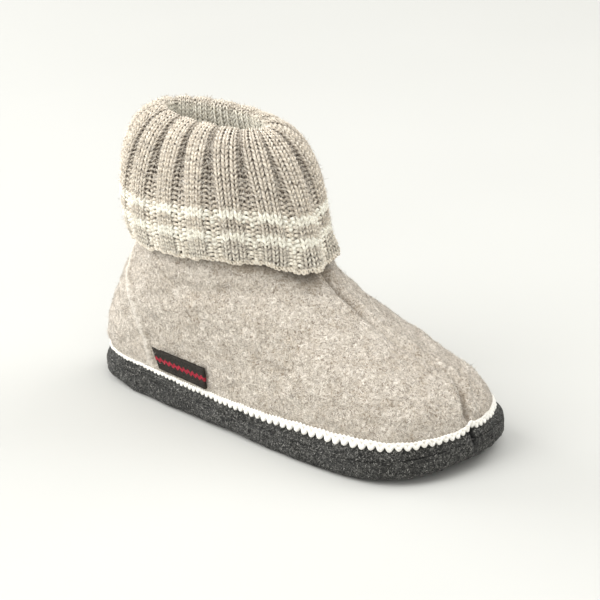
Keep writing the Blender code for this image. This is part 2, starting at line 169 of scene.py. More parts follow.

# Centre-front seam in mm: depth and half width of the groove, height of the welts beside it, and the painted
# shade in the groove
SEAM = named_rows(
    "place up groove half outer inner shade",
    ("toe edge", 0.02, 1.6, 2.0, 0.5, 0.6, 0.55),
    ("toe", 0.10, 2.7, 2.3, 1.1, 1.4, 0.62),
    ("over the toe", 0.20, 2.0, 1.9, 1.1, 1.5, 0.38),
    ("toe cap", 0.30, 0.9, 1.4, 0.7, 1.3, 0.10),
    ("vamp", 0.45, 0.7, 1.2, 0.4, 1.1, 0.05),
    ("instep", 0.60, 1.2, 1.4, 0.6, 1.4, 0.16),
    ("upper instep", 0.70, 2.0, 1.8, 0.8, 1.6, 0.40),
    ("under the cuff", 0.84, 2.6, 2.3, 0.9, 1.7, 0.70),
)

# Soft folds in the felt: a line from one place to another, depth and half width in mm
FOLDS = named_rows(
    "place around_a up_a around_b up_b depth half",
    ("outer ankle", 0.15, 0.70, 0.30, 0.78, 1.9, 5.5),
    ("inner ankle", 0.85, 0.70, 0.70, 0.78, 1.9, 5.5),
    ("outer ankle swell", 0.18, 0.58, 0.29, 0.60, -0.9, 9.0),
    ("inner ankle swell", 0.82, 0.58, 0.71, 0.60, -0.9, 9.0),
    ("outer instep", 0.35, 0.62, 0.44, 0.50, 0.7, 6.0),
    ("inner instep", 0.65, 0.62, 0.56, 0.50, 0.6, 6.0),
    ("outer vamp swell", 0.36, 0.45, 0.45, 0.34, -0.7, 8.0),
    ("outer toe break", 0.41, 0.30, 0.475, 0.40, 0.6, 4.5),
    ("inner toe break", 0.59, 0.30, 0.525, 0.40, 0.5, 4.5),
    ("outer side dent", 0.24, 0.30, 0.31, 0.38, 0.6, 8.0),
    ("heel hollow", 0.97, 0.55, 0.03, 0.55, 0.5, 9.0),
)

# Felt of the upper: its swells, where its relief starts and ends, and the pinch under the hem
SEAM_PUCKER = Swell(0.28, 0.006, 0.011, 12, 5)
FELT_SWELLS = (Swell(0.32 * MM, 0.010, 0.026, 26, 11), Swell(0.13 * MM, 0.0042, 0.009, 40, 12))
RELIEF_START = Slope(0.0, 0.07)
RELIEF_END = Slope(0.93, -0.05)
HEM_PINCH = Bump(0.875, 0.03, -0.7 * MM)

# Welts and dish of the front seam, in mm from it and less than 0 on the outer side
OUTER_WELT = Bump(-4.6, 2.9, 1.0)
INNER_WELT = Bump(5.4, 3.9, 1.0)
DISH_SHARE = 0.35
DISH_WIDE = 2.2
SEAM_ZONE = Slope(0.2, -0.05)

# Seam of the heel panel, in mm inside its edge: relief, painted shade beside its ridge, and painted light on
# the panel and its ridge
HEEL_EDGE = Slope(-1.2, 2.4)
HEEL_RIDGE = Bump(0.9, 1.5, 1.2)
HEEL_TROUGH = Bump(-1.7, 1.2, -0.5)
HEEL_PAINTED_SHADE = Bump(-1.8, 1.2, 0.08)
HEEL_PAINTED_LIGHT = 0.25
HEEL_RIDGE_PAINTED_HIGHLIGHT = Bump(0.7, 1.0, 0.55)

# Painted shade under the hem: distance from the toe around the shoe, painted shade there, and its reach
HEM_PAINTED_SHADE = ((0.0, 0.08, 0.24, 0.40, 0.5), (0.45, 0.60, 0.56, 0.20, 0.10))
HEM_PAINTED_SHADE_REACH = 0.13
SEAM_PAINTED_SHADE_END = Slope(0.95, -0.05)

# Fibres lie on this share of the upper's rows, but not where painted shade or painted light is stronger than
# this
FUZZ_ROWS_SHARE = 0.90
FUZZ_PAINTED_SHADE_LIMIT = 0.22
FUZZ_PAINTED_LIGHT_LIMIT = 0.5

# Knit: wales are its upright columns, courses its rows
WALES_PER_RIB = 5
KNIT_WALES = 3
PURL_WALES = WALES_PER_RIB - KNIT_WALES
WALES = RIB_COUNT * WALES_PER_RIB
RIB_UNEVEN = 0.10
RIB_SWAY = 0.06
COURSES = 43
COURSE_STEP = 0.00248
STRIPES = (6, 7, 11, 12)
KNIT_LEAN = 1.75
PURL_LEAN = 0.35
KNIT_REACH = 0.86
PURL_REACH = 0.76
PURL_SAG = 1.0
SAG_START = Slope(1.0, 3.0)
SAG_END = Slope(22.0, -9.0)
FACE_TURN = 0.12
WALE_BORDER = Slope(0.35, 0.6)
LOOP_CROWD = 0.6
LOOP_DEPTH = 0.00085
WALE_ROUND = 0.00055
LOOP_STEPS = 12
YARN_SIDES = 5
YARN_FILL = 0.168
YARN_MIN = 0.00040
YARN_MAX = 0.00090

# Share of a rib's width that its knit wales take: at the hem, and what is added as the rib closes up
RAISED_LOW = 0.54
RAISED_MORE = 0.28
RIB_CLOSES = Slope(0.28, 0.55)

# Cross section of the ribs: reach and what belongs to it, painted shade in the valleys, and half width of a
# valley in wales
VALLEY_HALF = 0.95
VALLEY_DEPTH_MM = ((0.0, 0.2, 0.42, 0.65, 0.85, 0.97, 1.1, 2.0), (0.9, 1.3, 2.1, 3.2, 2.7, 1.2, 0.9, 1.2))
VALLEY_PAINTED_SHADE = ((0.0, 0.2, 0.45, 0.7, 1.0, 1.3), (0.05, 0.12, 0.42, 0.74, 0.48, 0.1))
CROWN_SHARE = ((0.0, 1.0, 1.15), (0.9, 0.5, 0.0))
YARN_SINK = 0.0011

# Outer and inner front corner of the hem, which curl away from the felt: shares of the round, sizes in mm
HEM_CURLS = (Bump(0.452, 0.030, 3.0), Bump(0.532, 0.026, 4.6))
CURL_REACH = 0.22

# Pieces of the knit, and where each starts and ends in the list of courses
KNIT_PIECES = (("cuff_knit_lower", 0, 15), ("cuff_knit_upper", 15, 30), ("cuff_knit_inside", 30, COURSES - 1))

# Dark sheet behind the yarn, painted shade in its gaps: its depth, where it ends and is sewn down, and how
# dark it is and what changes it
BACKING_SINK = 0.0010
BACKING_END = 1.97
SEWN = Slope(1.78, 0.16)
SEWN_SINK = 0.0003
BACKING_PAINTED_SHADE_TONE = 0.14
BACKING_VALLEY_PAINTED_SHADE = 0.08
BACKING_INSIDE_PAINTED_LIGHT = 0.84
BACKING_BORDER_PAINTED_SHADE = 0.42

# Yarn of plain and striped courses: cream, thickness, and painted shade behind, between wales and in valleys
YarnStyle = namedtuple("YarnStyle", "cream fat_purl fat_knit behind_purl behind_knit border valley")
PLAIN_YARN = YarnStyle(0.0, 1.0, 1.0, 0.52, 0.92, 0.78, 1.0)
CREAM_YARN = YarnStyle(1.0, 1.22, 1.32, 0.10, 0.06, 0.09, 0.1)
INSIDE = Slope(1.0, 0.2)
# Inside the cuff: less painted shade, and painted light that makes the yarn more cream
INSIDE_LESS_PAINTED_SHADE = 0.7
INSIDE_PAINTED_LIGHT = 0.8
HEM_CREAM = 0.42
HEM_CREAM_END = Slope(0.34, -0.25)
LOOP_SHADE = 0.08
COURSE_SEED = 900

# Bound-off hem: sides of its two strands, and unevenness as size, rate and start of waves
HEM_COURSE = 0.25
HEM_SWAY = 0.42
HEM_TWIST = 0.0005
HEM_SIDES = 6
HEM_STEPS = 8
HEM_RADIUS_MM = 0.68
HEM_RIPPLE = ((0.26, 0.9, 0.0), (0.20, 2.3, 1.0), (0.12, 5.3, 0.0))
HEM_RADIUS_RIPPLE = ((0.16, 3.1, 0.0), (0.10, 7.7, 1.0))
HEM_TONE = 0.86
HEM_STRAND_CREAM = 0.12

# Edging in mm: its lower and upper edge from the rand's top, and the pitch of its teeth
EDGING = named_rows(
    "place around low high pitch",
    ("heel back", 0.00, -0.9, 1.2, 2.8),
    ("heel outer", 0.12, -1.1, 1.5, 3.0),
    ("waist outer", 0.21, -2.3, 1.9, 3.7),
    ("waist front", 0.30, -3.2, 2.2, 4.8),
    ("ball outer", 0.38, -2.9, 2.6, 5.3),
    ("toe outer", 0.45, -2.4, 1.7, 4.4),
    ("toe seam", 0.50, -2.4, 1.6, 3.7),
    ("toe inner", 0.55, -2.3, 1.6, 3.8),
    ("ball inner", 0.64, -2.8, 2.4, 5.0),
    ("waist inner", 0.75, -2.8, 2.2, 4.0),
    ("heel inner", 0.88, -1.1, 1.5, 3.0),
)

# Yarn of the edging: its loops, the thinner yarn that whips their tops, and the strip behind them in mm
EDGING_RIPPLE = ((0.22, 2.1, 0.0), (0.16, 0.77, 0.0))
EDGING_STEPS = 14
EDGING_SIDES = 7
EDGING_FILL = 0.235
EDGING_PINCH = 0.15
LEAST_SWAY = 0.1 * MM
LOOPS_OUT = 0.85
WHIP_FILL = 0.62
WHIP_OUT = 0.7
WHIP_START = 0.7
WHIP_DROP = 0.5 * MM
WHIP_SWAY = 0.35 * MM
WHIP_DEPTH = 0.25 * MM
EDGING_NOTCH = 0.0028
EDGING_NOTCH_HALF = 0.0065
STRIP_PROFILE = ((0.40, 0.1), (0.44, 0.8), (0.62, 1.0), (0.80, 0.8), (0.88, 0.05))

# Felt layers of the sole: the line between them, the rand's swell over it, the toe seam with painted shade in
# its notch, and the lumps
SOFT_CREASE = 0.0005
FOOT_SWELL = 0.0012
TOE_NOTCH_HALF = 0.0022
OUTSOLE_NOTCH = 0.0018
OUTSOLE_NOTCH_PAINTED_SHADE = 0.8
RAND_NOTCH = 0.0024
RAND_NOTCH_PAINTED_SHADE = 0.9
FINE_LUMPS = Swell(0.10 * MM, 0.0035, 0.008, 40, 32)
OUTSOLE_LUMPS = (Swell(0.18 * MM, 0.012, 0.030, 20, 31), FINE_LUMPS)
RAND_LUMPS = (Swell(0.16 * MM, 0.012, 0.030, 20, 31), FINE_LUMPS)
FUZZ_NOTCH_LIMIT = 0.15
FOOTBED_SWELL = Swell(0.18 * MM, 0.010, 0.025, 16, 51)
FOOTBED_HOLLOWS = named_rows(
    "place x spread size",
    ("heel", -0.070, 0.0008, 0.9 * MM),
    ("ball", 0.045, 0.0012, 0.63 * MM),
)

# Woven tab: a little thicker than its solid, thin at its edge, its forward end standing off, and its zigzag
LABEL_THICK = 0.0012
LABEL_EDGE_THICK = 0.65
LABEL_EDGE_ROUND_MM = 0.9
LABEL_FACE_OUT = 0.2 * MM
LABEL_BACK_SHARE = 0.75
LABEL_FOOT_GAP = 0.2 * MM
LABEL_STANDS_OFF = 0.0009
LABEL_LENGTH_MM = 37.0
LABEL_HEIGHT_MM = 12.0
WEFT_RATE = 150.0
WARP_RATE = 420.0
ZIGZAG_STEP = 0.045
ZIGZAG_SLOPE = 3.2
ZIGZAG_LOW = 0.43
ZIGZAG_HALF = 0.090

# Loose fibres, layer by layer, and mean and spread of their shade
FibreStyle = namedtuple("FibreStyle", "count length width lift bend")
UPPER_FUZZ = (FibreStyle(52000, 0.0030, 0.00023, 0.0011, 0.35),
              FibreStyle(5000, 0.0036, 0.00013, 0.0036, 0.5))
UPPER_FUZZ_SHADE = (0.50, 0.24)
CUFF_FUZZ = (FibreStyle(8000, 0.0032, 0.00018, 0.0016, 0.4), FibreStyle(7000, 0.0042, 0.00016, 0.0036, 0.5))
CUFF_FUZZ_SHADE = (0.60, 0.24)
CUFF_FUZZ_OUT = 0.0008
CUFF_FUZZ_COURSES = 34
CUFF_OUTWARD = (1.0, 2.0, 0.0)
CUFF_FUZZ_TILT = 0.3 * MM
OUTSOLE_FUZZ = (FibreStyle(11000, 0.0014, 0.00024, 0.0004, 0.4),)
RAND_FUZZ = (FibreStyle(9000, 0.0014, 0.00024, 0.0004, 0.4),)
SOLE_FUZZ_SHADE = (0.42, 0.27)
OUTSOLE_FUZZ_FROM = 4
RAND_FUZZ_RINGS = 7
FIBRE_LENGTHS = (0.5, 1.4)
FIBRE_WIDTHS = (0.6, 1.3)
FIBRE_LIE = 2.5
FIBRE_ROOT = 0.0001
FIBRE_CROWN = 0.00018
FIBRE_POINTS = 5

# Rows and columns of the meshes
UPPER_COLUMNS = 440
UPPER_ROWS = 116
UPPER_INNER_ROWS = 10
UPPER_INNER_FOOT = -0.02
SOLE_COLUMNS = 420
OUTSOLE_CAP_STEPS = 10
INSOLE_COLUMNS = 240
INSOLE_FOOT_STEPS = 4
INSOLE_TOP_STEPS = 24
BACKING_ROWS = 76
BACKING_STEPS = 4
LABEL_COLUMNS = 40
LABEL_ROWS = 14
COLUMN_PULL = 0.55

# Places where shapes are worked out once and then read from a table, and small steps for directions
OUTLINE_SAMPLES = 2400
TABLE = 1600
COURSE_SHARES = 96
COURSE_LENGTHS = np.linspace(-0.006, 0.150, 400)
COURSE_REACHES = np.linspace(-0.12, 2.0, 425)
PROBE_AROUND = 0.0012
PROBE_UP = 0.002

# Studio
LIGHTS = named_rows(
    "name place size power",
    ("key", (-0.90, -1.15, 1.50), 1.4, 29.0),
    ("top", (0.30, 0.10, 1.80), 1.6, 13.0),
    ("left", (-2.40, -0.20, 0.75), 1.6, 57.0),
    ("front", (1.20, -1.40, 1.10), 1.4, 10.5),
    ("back", (0.80, 1.30, 1.50), 1.4, 16.0),
)
LIGHT_TARGET = (0.0, 0.0, 0.06)
SHEEN_ROUGHNESS = 0.6
WORLD_COLOUR = (252, 251, 248)
WORLD_STRENGTH = 0.60
FLOOR_HALF = 30.0
CAMERA_AROUND = np.radians(33.0)
CAMERA_UP = np.radians(27.0)
CAMERA_DISTANCE = 1.25
CAMERA_AIM = (0.004, 0.004, 0.068)
CAMERA_LENS = 133.0
CAMERA_SENSOR = 36.0


# Helpers for numbers
def unit(vectors):
    """Vectors of length one."""
    return vectors / np.linalg.norm(vectors, axis=-1, keepdims=True)


def smooth(values):
    """Soft step from 0 to 1."""
    values = np.clip(values, 0.0, 1.0)
    return values * values * (3.0 - 2.0 * values)


def soft_step(slope, at):
    """Soft climb from 0 where a slope starts to 1 where its span ends."""
    return smooth((at - slope.start) / slope.span)


def blend(first, second, share):
    """Value between two, by a share from 0 to 1."""
    return first + (second - first) * share


def hill(away):
    """Soft hill, 1 high in its middle."""
    return np.exp(-away**2)


def bell(bump, at):
    """Height of a bump at the places given."""
    return bump.size * hill((at - bump.at) / bump.half)


def ripple(at, rows):
    """Unevenness of yarn: a sum of waves, each with a size, a rate and a start."""
    return sum(size * np.sin(at * rate + start) for size, rate, start in rows)


def spread(columns, rows):
    """Every column's place with every row's, row by row."""
    return np.tile(columns, len(rows)), np.repeat(rows, len(columns))


def periodic_spline(knots, values, period, at):
    """Smooth closed curve through the values at the knots, read at the places given."""
    knots = np.asarray(knots, float)
    values = np.asarray(values, float)
    count = len(knots)
    step = np.diff(np.append(knots, knots[0] + period))
    before = np.roll(step, 1)
    slope = (np.roll(values, -1, axis=0) - values) / step[:, None]
    square = np.eye(count)
    matrix = np.diag(2.0 * (before + step)) + before[:, None] * np.roll(square, -1, axis=1)
    matrix += step[:, None] * np.roll(square, 1, axis=1)
    bend = np.linalg.solve(matrix, 6.0 * (slope - np.roll(slope, 1, axis=0)))
    where = np.mod(np.asarray(at, float) - knots[0], period) + knots[0]
    i = np.searchsorted(knots, where, side="right") - 1
    j = (i + 1) % count
    span = step[i][:, None]
    ahead = (where - knots[i])[:, None]
    back = span - ahead
    curve = (bend[i] * back**3 + bend[j] * ahead**3) / (6.0 * span)
    return curve + (values[i] / span - bend[i] * span / 6.0) * back + (
        values[j] / span - bend[j] * span / 6.0) * ahead


def read_rows(rows, around, *keys):
    """Columns of a table of places around the shoe, curving smoothly between its rows."""
    sizes = [[getattr(row, key) for key in keys] for row in rows]
    return periodic_spline([row.around for row in rows], sizes, 1.0, around).T


def read_closed(table, at):
    """Rows of a closed table at places from 0 to 1, curving smoothly between its rows."""
    where = np.mod(at, 1.0) * len(table)
    low = np.floor(where).astype(int)
    ahead = (where - low)[:, None]
    a, b, c, d = (table[(low + k) % len(table)] for k in (-1, 0, 1, 2))
    return b + 0.5 * ahead * (c - a + ahead * (2.0 * a - 5.0 * b + 4.0 * c - d
                                               + ahead * (3.0 * (b - c) + d - a)))


# Shape of the sole
def outline_table():
    """Sole outline and its outward directions at even places around."""
    corners = np.array([((row.along - 0.5) * LENGTH, row.across * BALL_WIDTH) for row in OUTLINE])
    chord = np.linalg.norm(np.roll(corners, -1, axis=0) - corners, axis=1)
    knots = np.concatenate([[0.0], np.cumsum(chord)[:-1]])
    period = chord.sum()
    at = np.linspace(0.0, period, OUTLINE_SAMPLES, endpoint=False)
    points = periodic_spline(knots, corners, period, at)
    points -= 0.5 * (points.min(axis=0) + points.max(axis=0))
    gone = np.concatenate([[0.0], np.cumsum(np.linalg.norm(np.diff(points, axis=0), axis=1))])
    whole = gone[-1] + np.linalg.norm(points[0] - points[-1])
    toe = np.interp(knots[TOE_ROW], at, gone)
    around = np.where(gone < toe, 0.5 * gone / toe, 0.5 + 0.5 * (gone - toe) / (whole - toe))
    even = np.arange(TABLE) / TABLE
    closed = np.vstack([points, points[:1]])
    flat = np.column_stack([np.interp(even, np.append(around, 1.0), closed[:, k]) for k in (0, 1)])
    along = unit(np.roll(flat, -2, axis=0) - np.roll(flat, 2, axis=0))
    return np.column_stack([flat, along[:, 1], -along[:, 0]])


OUTLINE_TABLE = outline_table()


def toe_lift(x):
    """Rise of every layer towards the toe."""
    start = (TOE_SPRING_START - 0.5) * LENGTH
    return TOE_SPRING * np.clip((x - start) / (0.5 * LENGTH - start), 0.0, None)**2


def underside_lift(x):
    """Rise of the underside at the waist and at the back of the heel."""
    along = x / LENGTH + 0.5
    arch = np.clip((along - ARCH_START) / (ARCH_END - ARCH_START), 0.0, 1.0)
    heel = np.clip((HEEL_ROUND_END - along) / HEEL_ROUND_END, 0.0, 1.0)
    return ARCH_RISE * np.sin(np.pi * arch)**2 + HEEL_ROUND * heel**2


def sole_point(around, inset, height, underside=0.0):
    """Points of a sole layer, inside the outline by an inset, and their outward directions."""
    sizes = (np.asarray(around, float), inset, height, underside)
    around, inset, height, underside = np.broadcast_arrays(*sizes)
    row = read_closed(OUTLINE_TABLE, around)
    out = unit(row[:, 2:])
    flat = row[:, :2] - inset[:, None] * out
    lift = toe_lift(flat[:, 0]) + underside * underside_lift(flat[:, 0])
    return np.column_stack([flat, height + lift]), np.column_stack([out, np.zeros(len(out))])


def rand_edge(around):
    """Height of the rand's top edge before the toe spring, and its lean."""
    rise, lean = read_rows(RAND, around, "rise", "lean")
    return RAND_TOP + rise, lean


def rand_point(around, drop, out=0.0):
    """Points on the rand's outer face, a drop below its top edge, with their outward directions."""
    top, lean = rand_edge(around)
    full_drop = top - OUTSOLE_TOP - FIT_GAP - CREASE_ROUND
    share = np.clip(drop / full_drop, 0.0, 1.0)
    return sole_point(around, RAND_INSET + lean * (1.0 - share) - out, top - drop)


# Shape of the upper
def collar_place(around):
    """Share of the collar's round that belongs to a place around the sole."""
    return around + COLLAR_SHARE * np.sin(TURN * around) / TURN


def around_at_collar(share):
    """Place around the sole that belongs to a share of the collar's round."""
    table = np.linspace(0.0, 1.0, TABLE + 1)
    return np.interp(share, collar_place(table), table)


def oval_point(around, oval):
    """Points on a closed oval above the heel, and their outward directions."""
    turn = TURN * collar_place(around)
    along = -np.cos(turn)
    across = -np.sin(turn)
    x = oval.centre + oval.half_length * along
    points = np.column_stack([x, oval.half_width * across, oval.height + oval.tilt * (x - oval.centre)])
    return points, unit(np.column_stack([along / oval.half_length, across / oval.half_width, 0.0 * x]))


def bezier(a, b, c, d, up):
    """Curve points between four guide points."""
    up = up[:, None]
    down = 1.0 - up
    return down**3 * a + 3.0 * down**2 * up * b + 3.0 * down * up**2 * c + up**3 * d


def upper_guides():
    """Guide points of the upper's sections at even places around."""
    around = np.arange(TABLE) / TABLE
    rise, flare, drop, out_by = read_rows(SECTIONS, around, "rise", "flare", "drop", "spread")[:, :, None]
    foot, out = rand_point(around, 0.0)
    foot = foot + FOOT_GAP * UPRIGHT
    collar, collar_out = oval_point(around, COLLAR)
    return np.hstack([foot, foot + flare * out + rise * UPRIGHT,
                      collar + out_by * collar_out - drop * UPRIGHT, collar])


UPPER_GUIDES = upper_guides()


def face_frame(face, around, up):
    """Points of a face, its outward and upward directions and its width per place."""
    climb = unit(face(around, up + PROBE_UP) - face(around, up - PROBE_UP))
    sweep = face(around + PROBE_AROUND, up) - face(around - PROBE_AROUND, up)
    width = np.linalg.norm(sweep, axis=1) / (2.0 * PROBE_AROUND)
    return face(around, up), unit(np.cross(sweep, climb)), climb, width


def upper_plain(around, up):
    """Outer face of the upper without its seams and folds."""
    return bezier(*np.split(read_closed(UPPER_GUIDES, around), 4, axis=1), up)


def upper_frame(around, up):
    """Plain outer face with its outward and upward directions and its width per place."""
    return face_frame(upper_plain, around, up)


def waves(points, swell):
    """Soft random swell of waves within a range of lengths."""
    pick = np.random.default_rng(swell.seed)
    lengths = np.exp(pick.uniform(np.log(swell.shortest), np.log(swell.longest), swell.count))
    turns = unit(pick.normal(size=(swell.count, 3))) * (TURN / lengths)[:, None]
    total = np.zeros(len(points))
    for turn, start in zip(turns, pick.uniform(0.0, TURN, swell.count)):
        total += np.sin(points @ turn + start)
    return swell.size * total * np.sqrt(2.0 / swell.count)


def seam_sizes(up, *keys):
    """Columns of the front seam's table at heights on the upper."""
    at = [row.up for row in SEAM]
    return [np.interp(up, at, [getattr(row, key) for row in SEAM]) for key in keys]


def seam_away(around, up, points):
    """Distance in mm from the front seam, which bows inwards over the toe; less than 0 outside it."""
    place = 0.5 + SEAM_BOW * hill((up - SEAM_BOW_AT) / SEAM_BOW_HALF)
    return np.sign(around - place) * np.linalg.norm(points - upper_plain(place, up), axis=1) / MM


def seam_relief(around, up, points):
    """Groove of the centre-front seam between two welts, the inner one fuller and lying higher."""
    away = seam_away(around, up, points)
    groove, half, outer, inner = seam_sizes(up, "groove", "half", "outer", "inner")
    pucker = 1.0 + waves(points, SEAM_PUCKER)
    relief = (outer * pucker * bell(OUTER_WELT, away) + inner * pucker * bell(INNER_WELT, away)
              - groove * hill(away / half) - DISH_SHARE * groove * hill(away / (DISH_WIDE * half)))
    return relief * MM * soft_step(SEAM_ZONE, np.abs(around - 0.5))


def heel_inside(around, up, width):
    """Distance in mm inside the heel panel's edge."""
    from_back = np.minimum(np.mod(around, 1.0), np.mod(1.0 - around, 1.0))
    return (HEEL_PANEL_FOOT - HEEL_PANEL_NARROWS * up**2 - from_back) * width / MM


def painted_felt_shade(around, up):
    """Painted shade of the felt in its seams and under the hem, from 0 to 1."""
    points, _, _, width = upper_frame(around, up)
    half, shade = seam_sizes(up, "half", "shade")
    front = shade * hill(seam_away(around, up, points) / half) * soft_step(SEAM_PAINTED_SHADE_END, up)
    beside = bell(HEEL_PAINTED_SHADE, heel_inside(around, up, width))
    hem = read_rows(CUFF, around, "hem")[0]
    below = np.clip((up - hem + HEM_PAINTED_SHADE_REACH) / HEM_PAINTED_SHADE_REACH, 0.0, 1.0)
    return np.maximum(front + beside, np.interp(np.abs(around - 0.5), *HEM_PAINTED_SHADE) * below**2)


def heel_relief(around, up, width):
    """Heel panel a step proud of the sides, with a felted ridge along its seam."""
    inside = heel_inside(around, up, width)
    step = HEEL_PANEL_STEP * soft_step(HEEL_EDGE, inside)
    return step + MM * (bell(HEEL_RIDGE, inside) + bell(HEEL_TROUGH, inside))


def heel_pale(around, up):
    """Painted light on the heel panel and a painted highlight on the ridge along its seam, from 0 to 1."""
    _, _, _, width = upper_frame(around, up)
    inside = heel_inside(around, up, width)
    return HEEL_PAINTED_LIGHT * soft_step(HEEL_EDGE, inside) + bell(HEEL_RIDGE_PAINTED_HIGHLIGHT, inside)


def fold_relief(points):
    """Soft troughs and swells of the felt, along the lines of the fold table."""
    total = np.zeros(len(points))
    for row in FOLDS:
        a, b = upper_plain(np.array([row.around_a, row.around_b]), np.array([row.up_a, row.up_b]))
        span = b - a
        along = np.clip((points - a) @ span / (span @ span), 0.0, 1.0)
        away = np.linalg.norm(points - a - along[:, None] * span, axis=1)
        total -= row.depth * MM * hill(away / (row.half * MM))
    return total


def upper_face(around, up):
    """Outer face of the upper with seams, folds and the lumps of felted wool."""
    points, normal, _, width = upper_frame(around, up)
    relief = seam_relief(around, up, points) + heel_relief(around, up, width) + fold_relief(points)
    relief += sum(waves(points, swell) for swell in FELT_SWELLS)
    relief *= np.minimum(soft_step(RELIEF_START, up), soft_step(RELIEF_END, up))
    relief += bell(HEM_PINCH, up)
    return points + relief[:, None] * normal


# Shape of the cuff and its knit
def cuff_guides():
    """Guide points of the folded knit at even shares of its round, from hem over crest to collar."""
    around = around_at_collar(np.arange(TABLE) / TABLE)
    sizes = read_rows(CUFF, around, "hem", "stand", "swell", "shoulder")
    reach, stand, swell, shoulder = sizes[:, :, None]
    hem, hem_out, _, _ = upper_frame(around, reach[:, 0])
    hem = hem + (stand + KNIT) * hem_out
    crest, crest_out = oval_point(around, CREST)
    collar, collar_out, collar_up, _ = upper_frame(around, np.ones(TABLE))
    seam = collar - WALL * collar_out + COLLAR_GAP * collar_up
    level_out = unit(hem_out * np.array([1.0, 1.0, 0.0]))
    return np.hstack([hem, hem + HEM_RISE * UPRIGHT + swell * level_out, crest + shoulder * crest_out,
                      crest, crest - CREST_ROUND * crest_out, seam + SEAM_RISE * collar_up, seam])


CUFF_GUIDES = cuff_guides()


def cuff_plain(share, reach):
    """Knit face without ribs: reach runs 0 at the hem, 1 at the crest and 2 at the collar."""
    hem, over, under, crest, within, above, seam = np.split(read_closed(CUFF_GUIDES, share), 7, axis=1)
    outer = bezier(hem, over, under, crest, np.minimum(reach, 1.0))
    inner = bezier(crest, within, above, seam, np.maximum(reach - 1.0, 0.0))
    return np.where((reach > 1.0)[:, None], inner, outer)


def cuff_frame(share, reach):
    """Knit face with its outward direction and the width of one rib there."""
    points, normal, _, width = face_frame(cuff_plain, share, reach)
    return points, normal, width / RIB_COUNT


def course_table():
    """Reach of every length of knit measured from the hem, at even shares of the round."""
    share = np.arange(COURSE_SHARES) / COURSE_SHARES
    lines = np.stack([cuff_plain(share, np.full(COURSE_SHARES, reach)) for reach in COURSE_REACHES])
    gone = np.zeros((len(COURSE_REACHES), COURSE_SHARES))
    gone[1:] = np.cumsum(np.linalg.norm(np.diff(lines, axis=0), axis=2), axis=0)
    table = []
    for column in gone.T:
        from_hem = column - np.interp(0.0, COURSE_REACHES, column)
        table.append(np.interp(COURSE_LENGTHS, from_hem, COURSE_REACHES))
    return np.array(table)


COURSE_REACH = course_table()


def reach_of(course, share):
    """Reach of a course, which may lie between two rows, at a share of the round."""
    across = np.mod(share, 1.0) * COURSE_SHARES
    left = np.floor(across).astype(int)
    span = COURSE_LENGTHS[1] - COURSE_LENGTHS[0]
    along = np.clip((course * COURSE_STEP - COURSE_LENGTHS[0]) / span, 0.0, len(COURSE_LENGTHS) - 1.001)
    low = np.floor(along).astype(int)
    ahead = along - low

    def column(index):
        """Reach along one column of the table."""
        index = index % COURSE_SHARES
        return COURSE_REACH[index, low] * (1.0 - ahead) + COURSE_REACH[index, low + 1] * ahead

    return blend(column(left), column(left + 1), across - left)


def within_rib(wale):
    """Place in a rib: knit wales from 0 to 3 and purl wales either side of them."""
    return np.mod(wale + 1.0, WALES_PER_RIB) - 1.0


def knit_share(reach):
    """Share of a rib's width that its raised wales take; the rib closes up towards the crest."""
    return RAISED_LOW + RAISED_MORE * soft_step(RIB_CLOSES, reach)


def wale_share(wale, reach):
    """Share of the cuff's round where a wale lies; ribs differ a little in width and place."""
    rib = np.floor((wale + 1.0) / WALES_PER_RIB)
    place = within_rib(wale)
    uneven = RIB_UNEVEN * np.sin(TURN * (rib * 3.0 + 1.0) / RIB_COUNT)
    raised = knit_share(reach) * (1.0 + uneven)
    knit = np.clip(place, 0.0, KNIT_WALES)
    local = 0.5 + (knit / KNIT_WALES - 0.5) * raised + (place - knit) / PURL_WALES * (1.0 - raised)
    sway = RIB_SWAY * np.sin(TURN * (wale / WALES * 5.0 + 0.3))
    return (rib + local + sway) / RIB_COUNT


def rib_raise(wale):
    """How high a wale stands, from 0 in the purl valley to 1 on the rib."""
    from_valley = 0.5 * WALES_PER_RIB - np.abs(within_rib(wale) - 0.5 * KNIT_WALES)
    return 1.0 - hill(from_valley / VALLEY_HALF)


def knit_centre(wale, reach):
    """Height of the yarn's middle above the plain knit face."""
    crown = RIB_HEIGHT * np.interp(reach, *CROWN_SHARE) - YARN_SINK
    return crown - MM * np.interp(reach, *VALLEY_DEPTH_MM) * (1.0 - rib_raise(wale))


def hem_curl(share, reach):
    """How far the front corners of the hem curl away from the felt."""
    total = sum(bell(row, share) for row in HEM_CURLS)
    return MM * total * smooth(1.0 - reach / CURL_REACH)**1.5


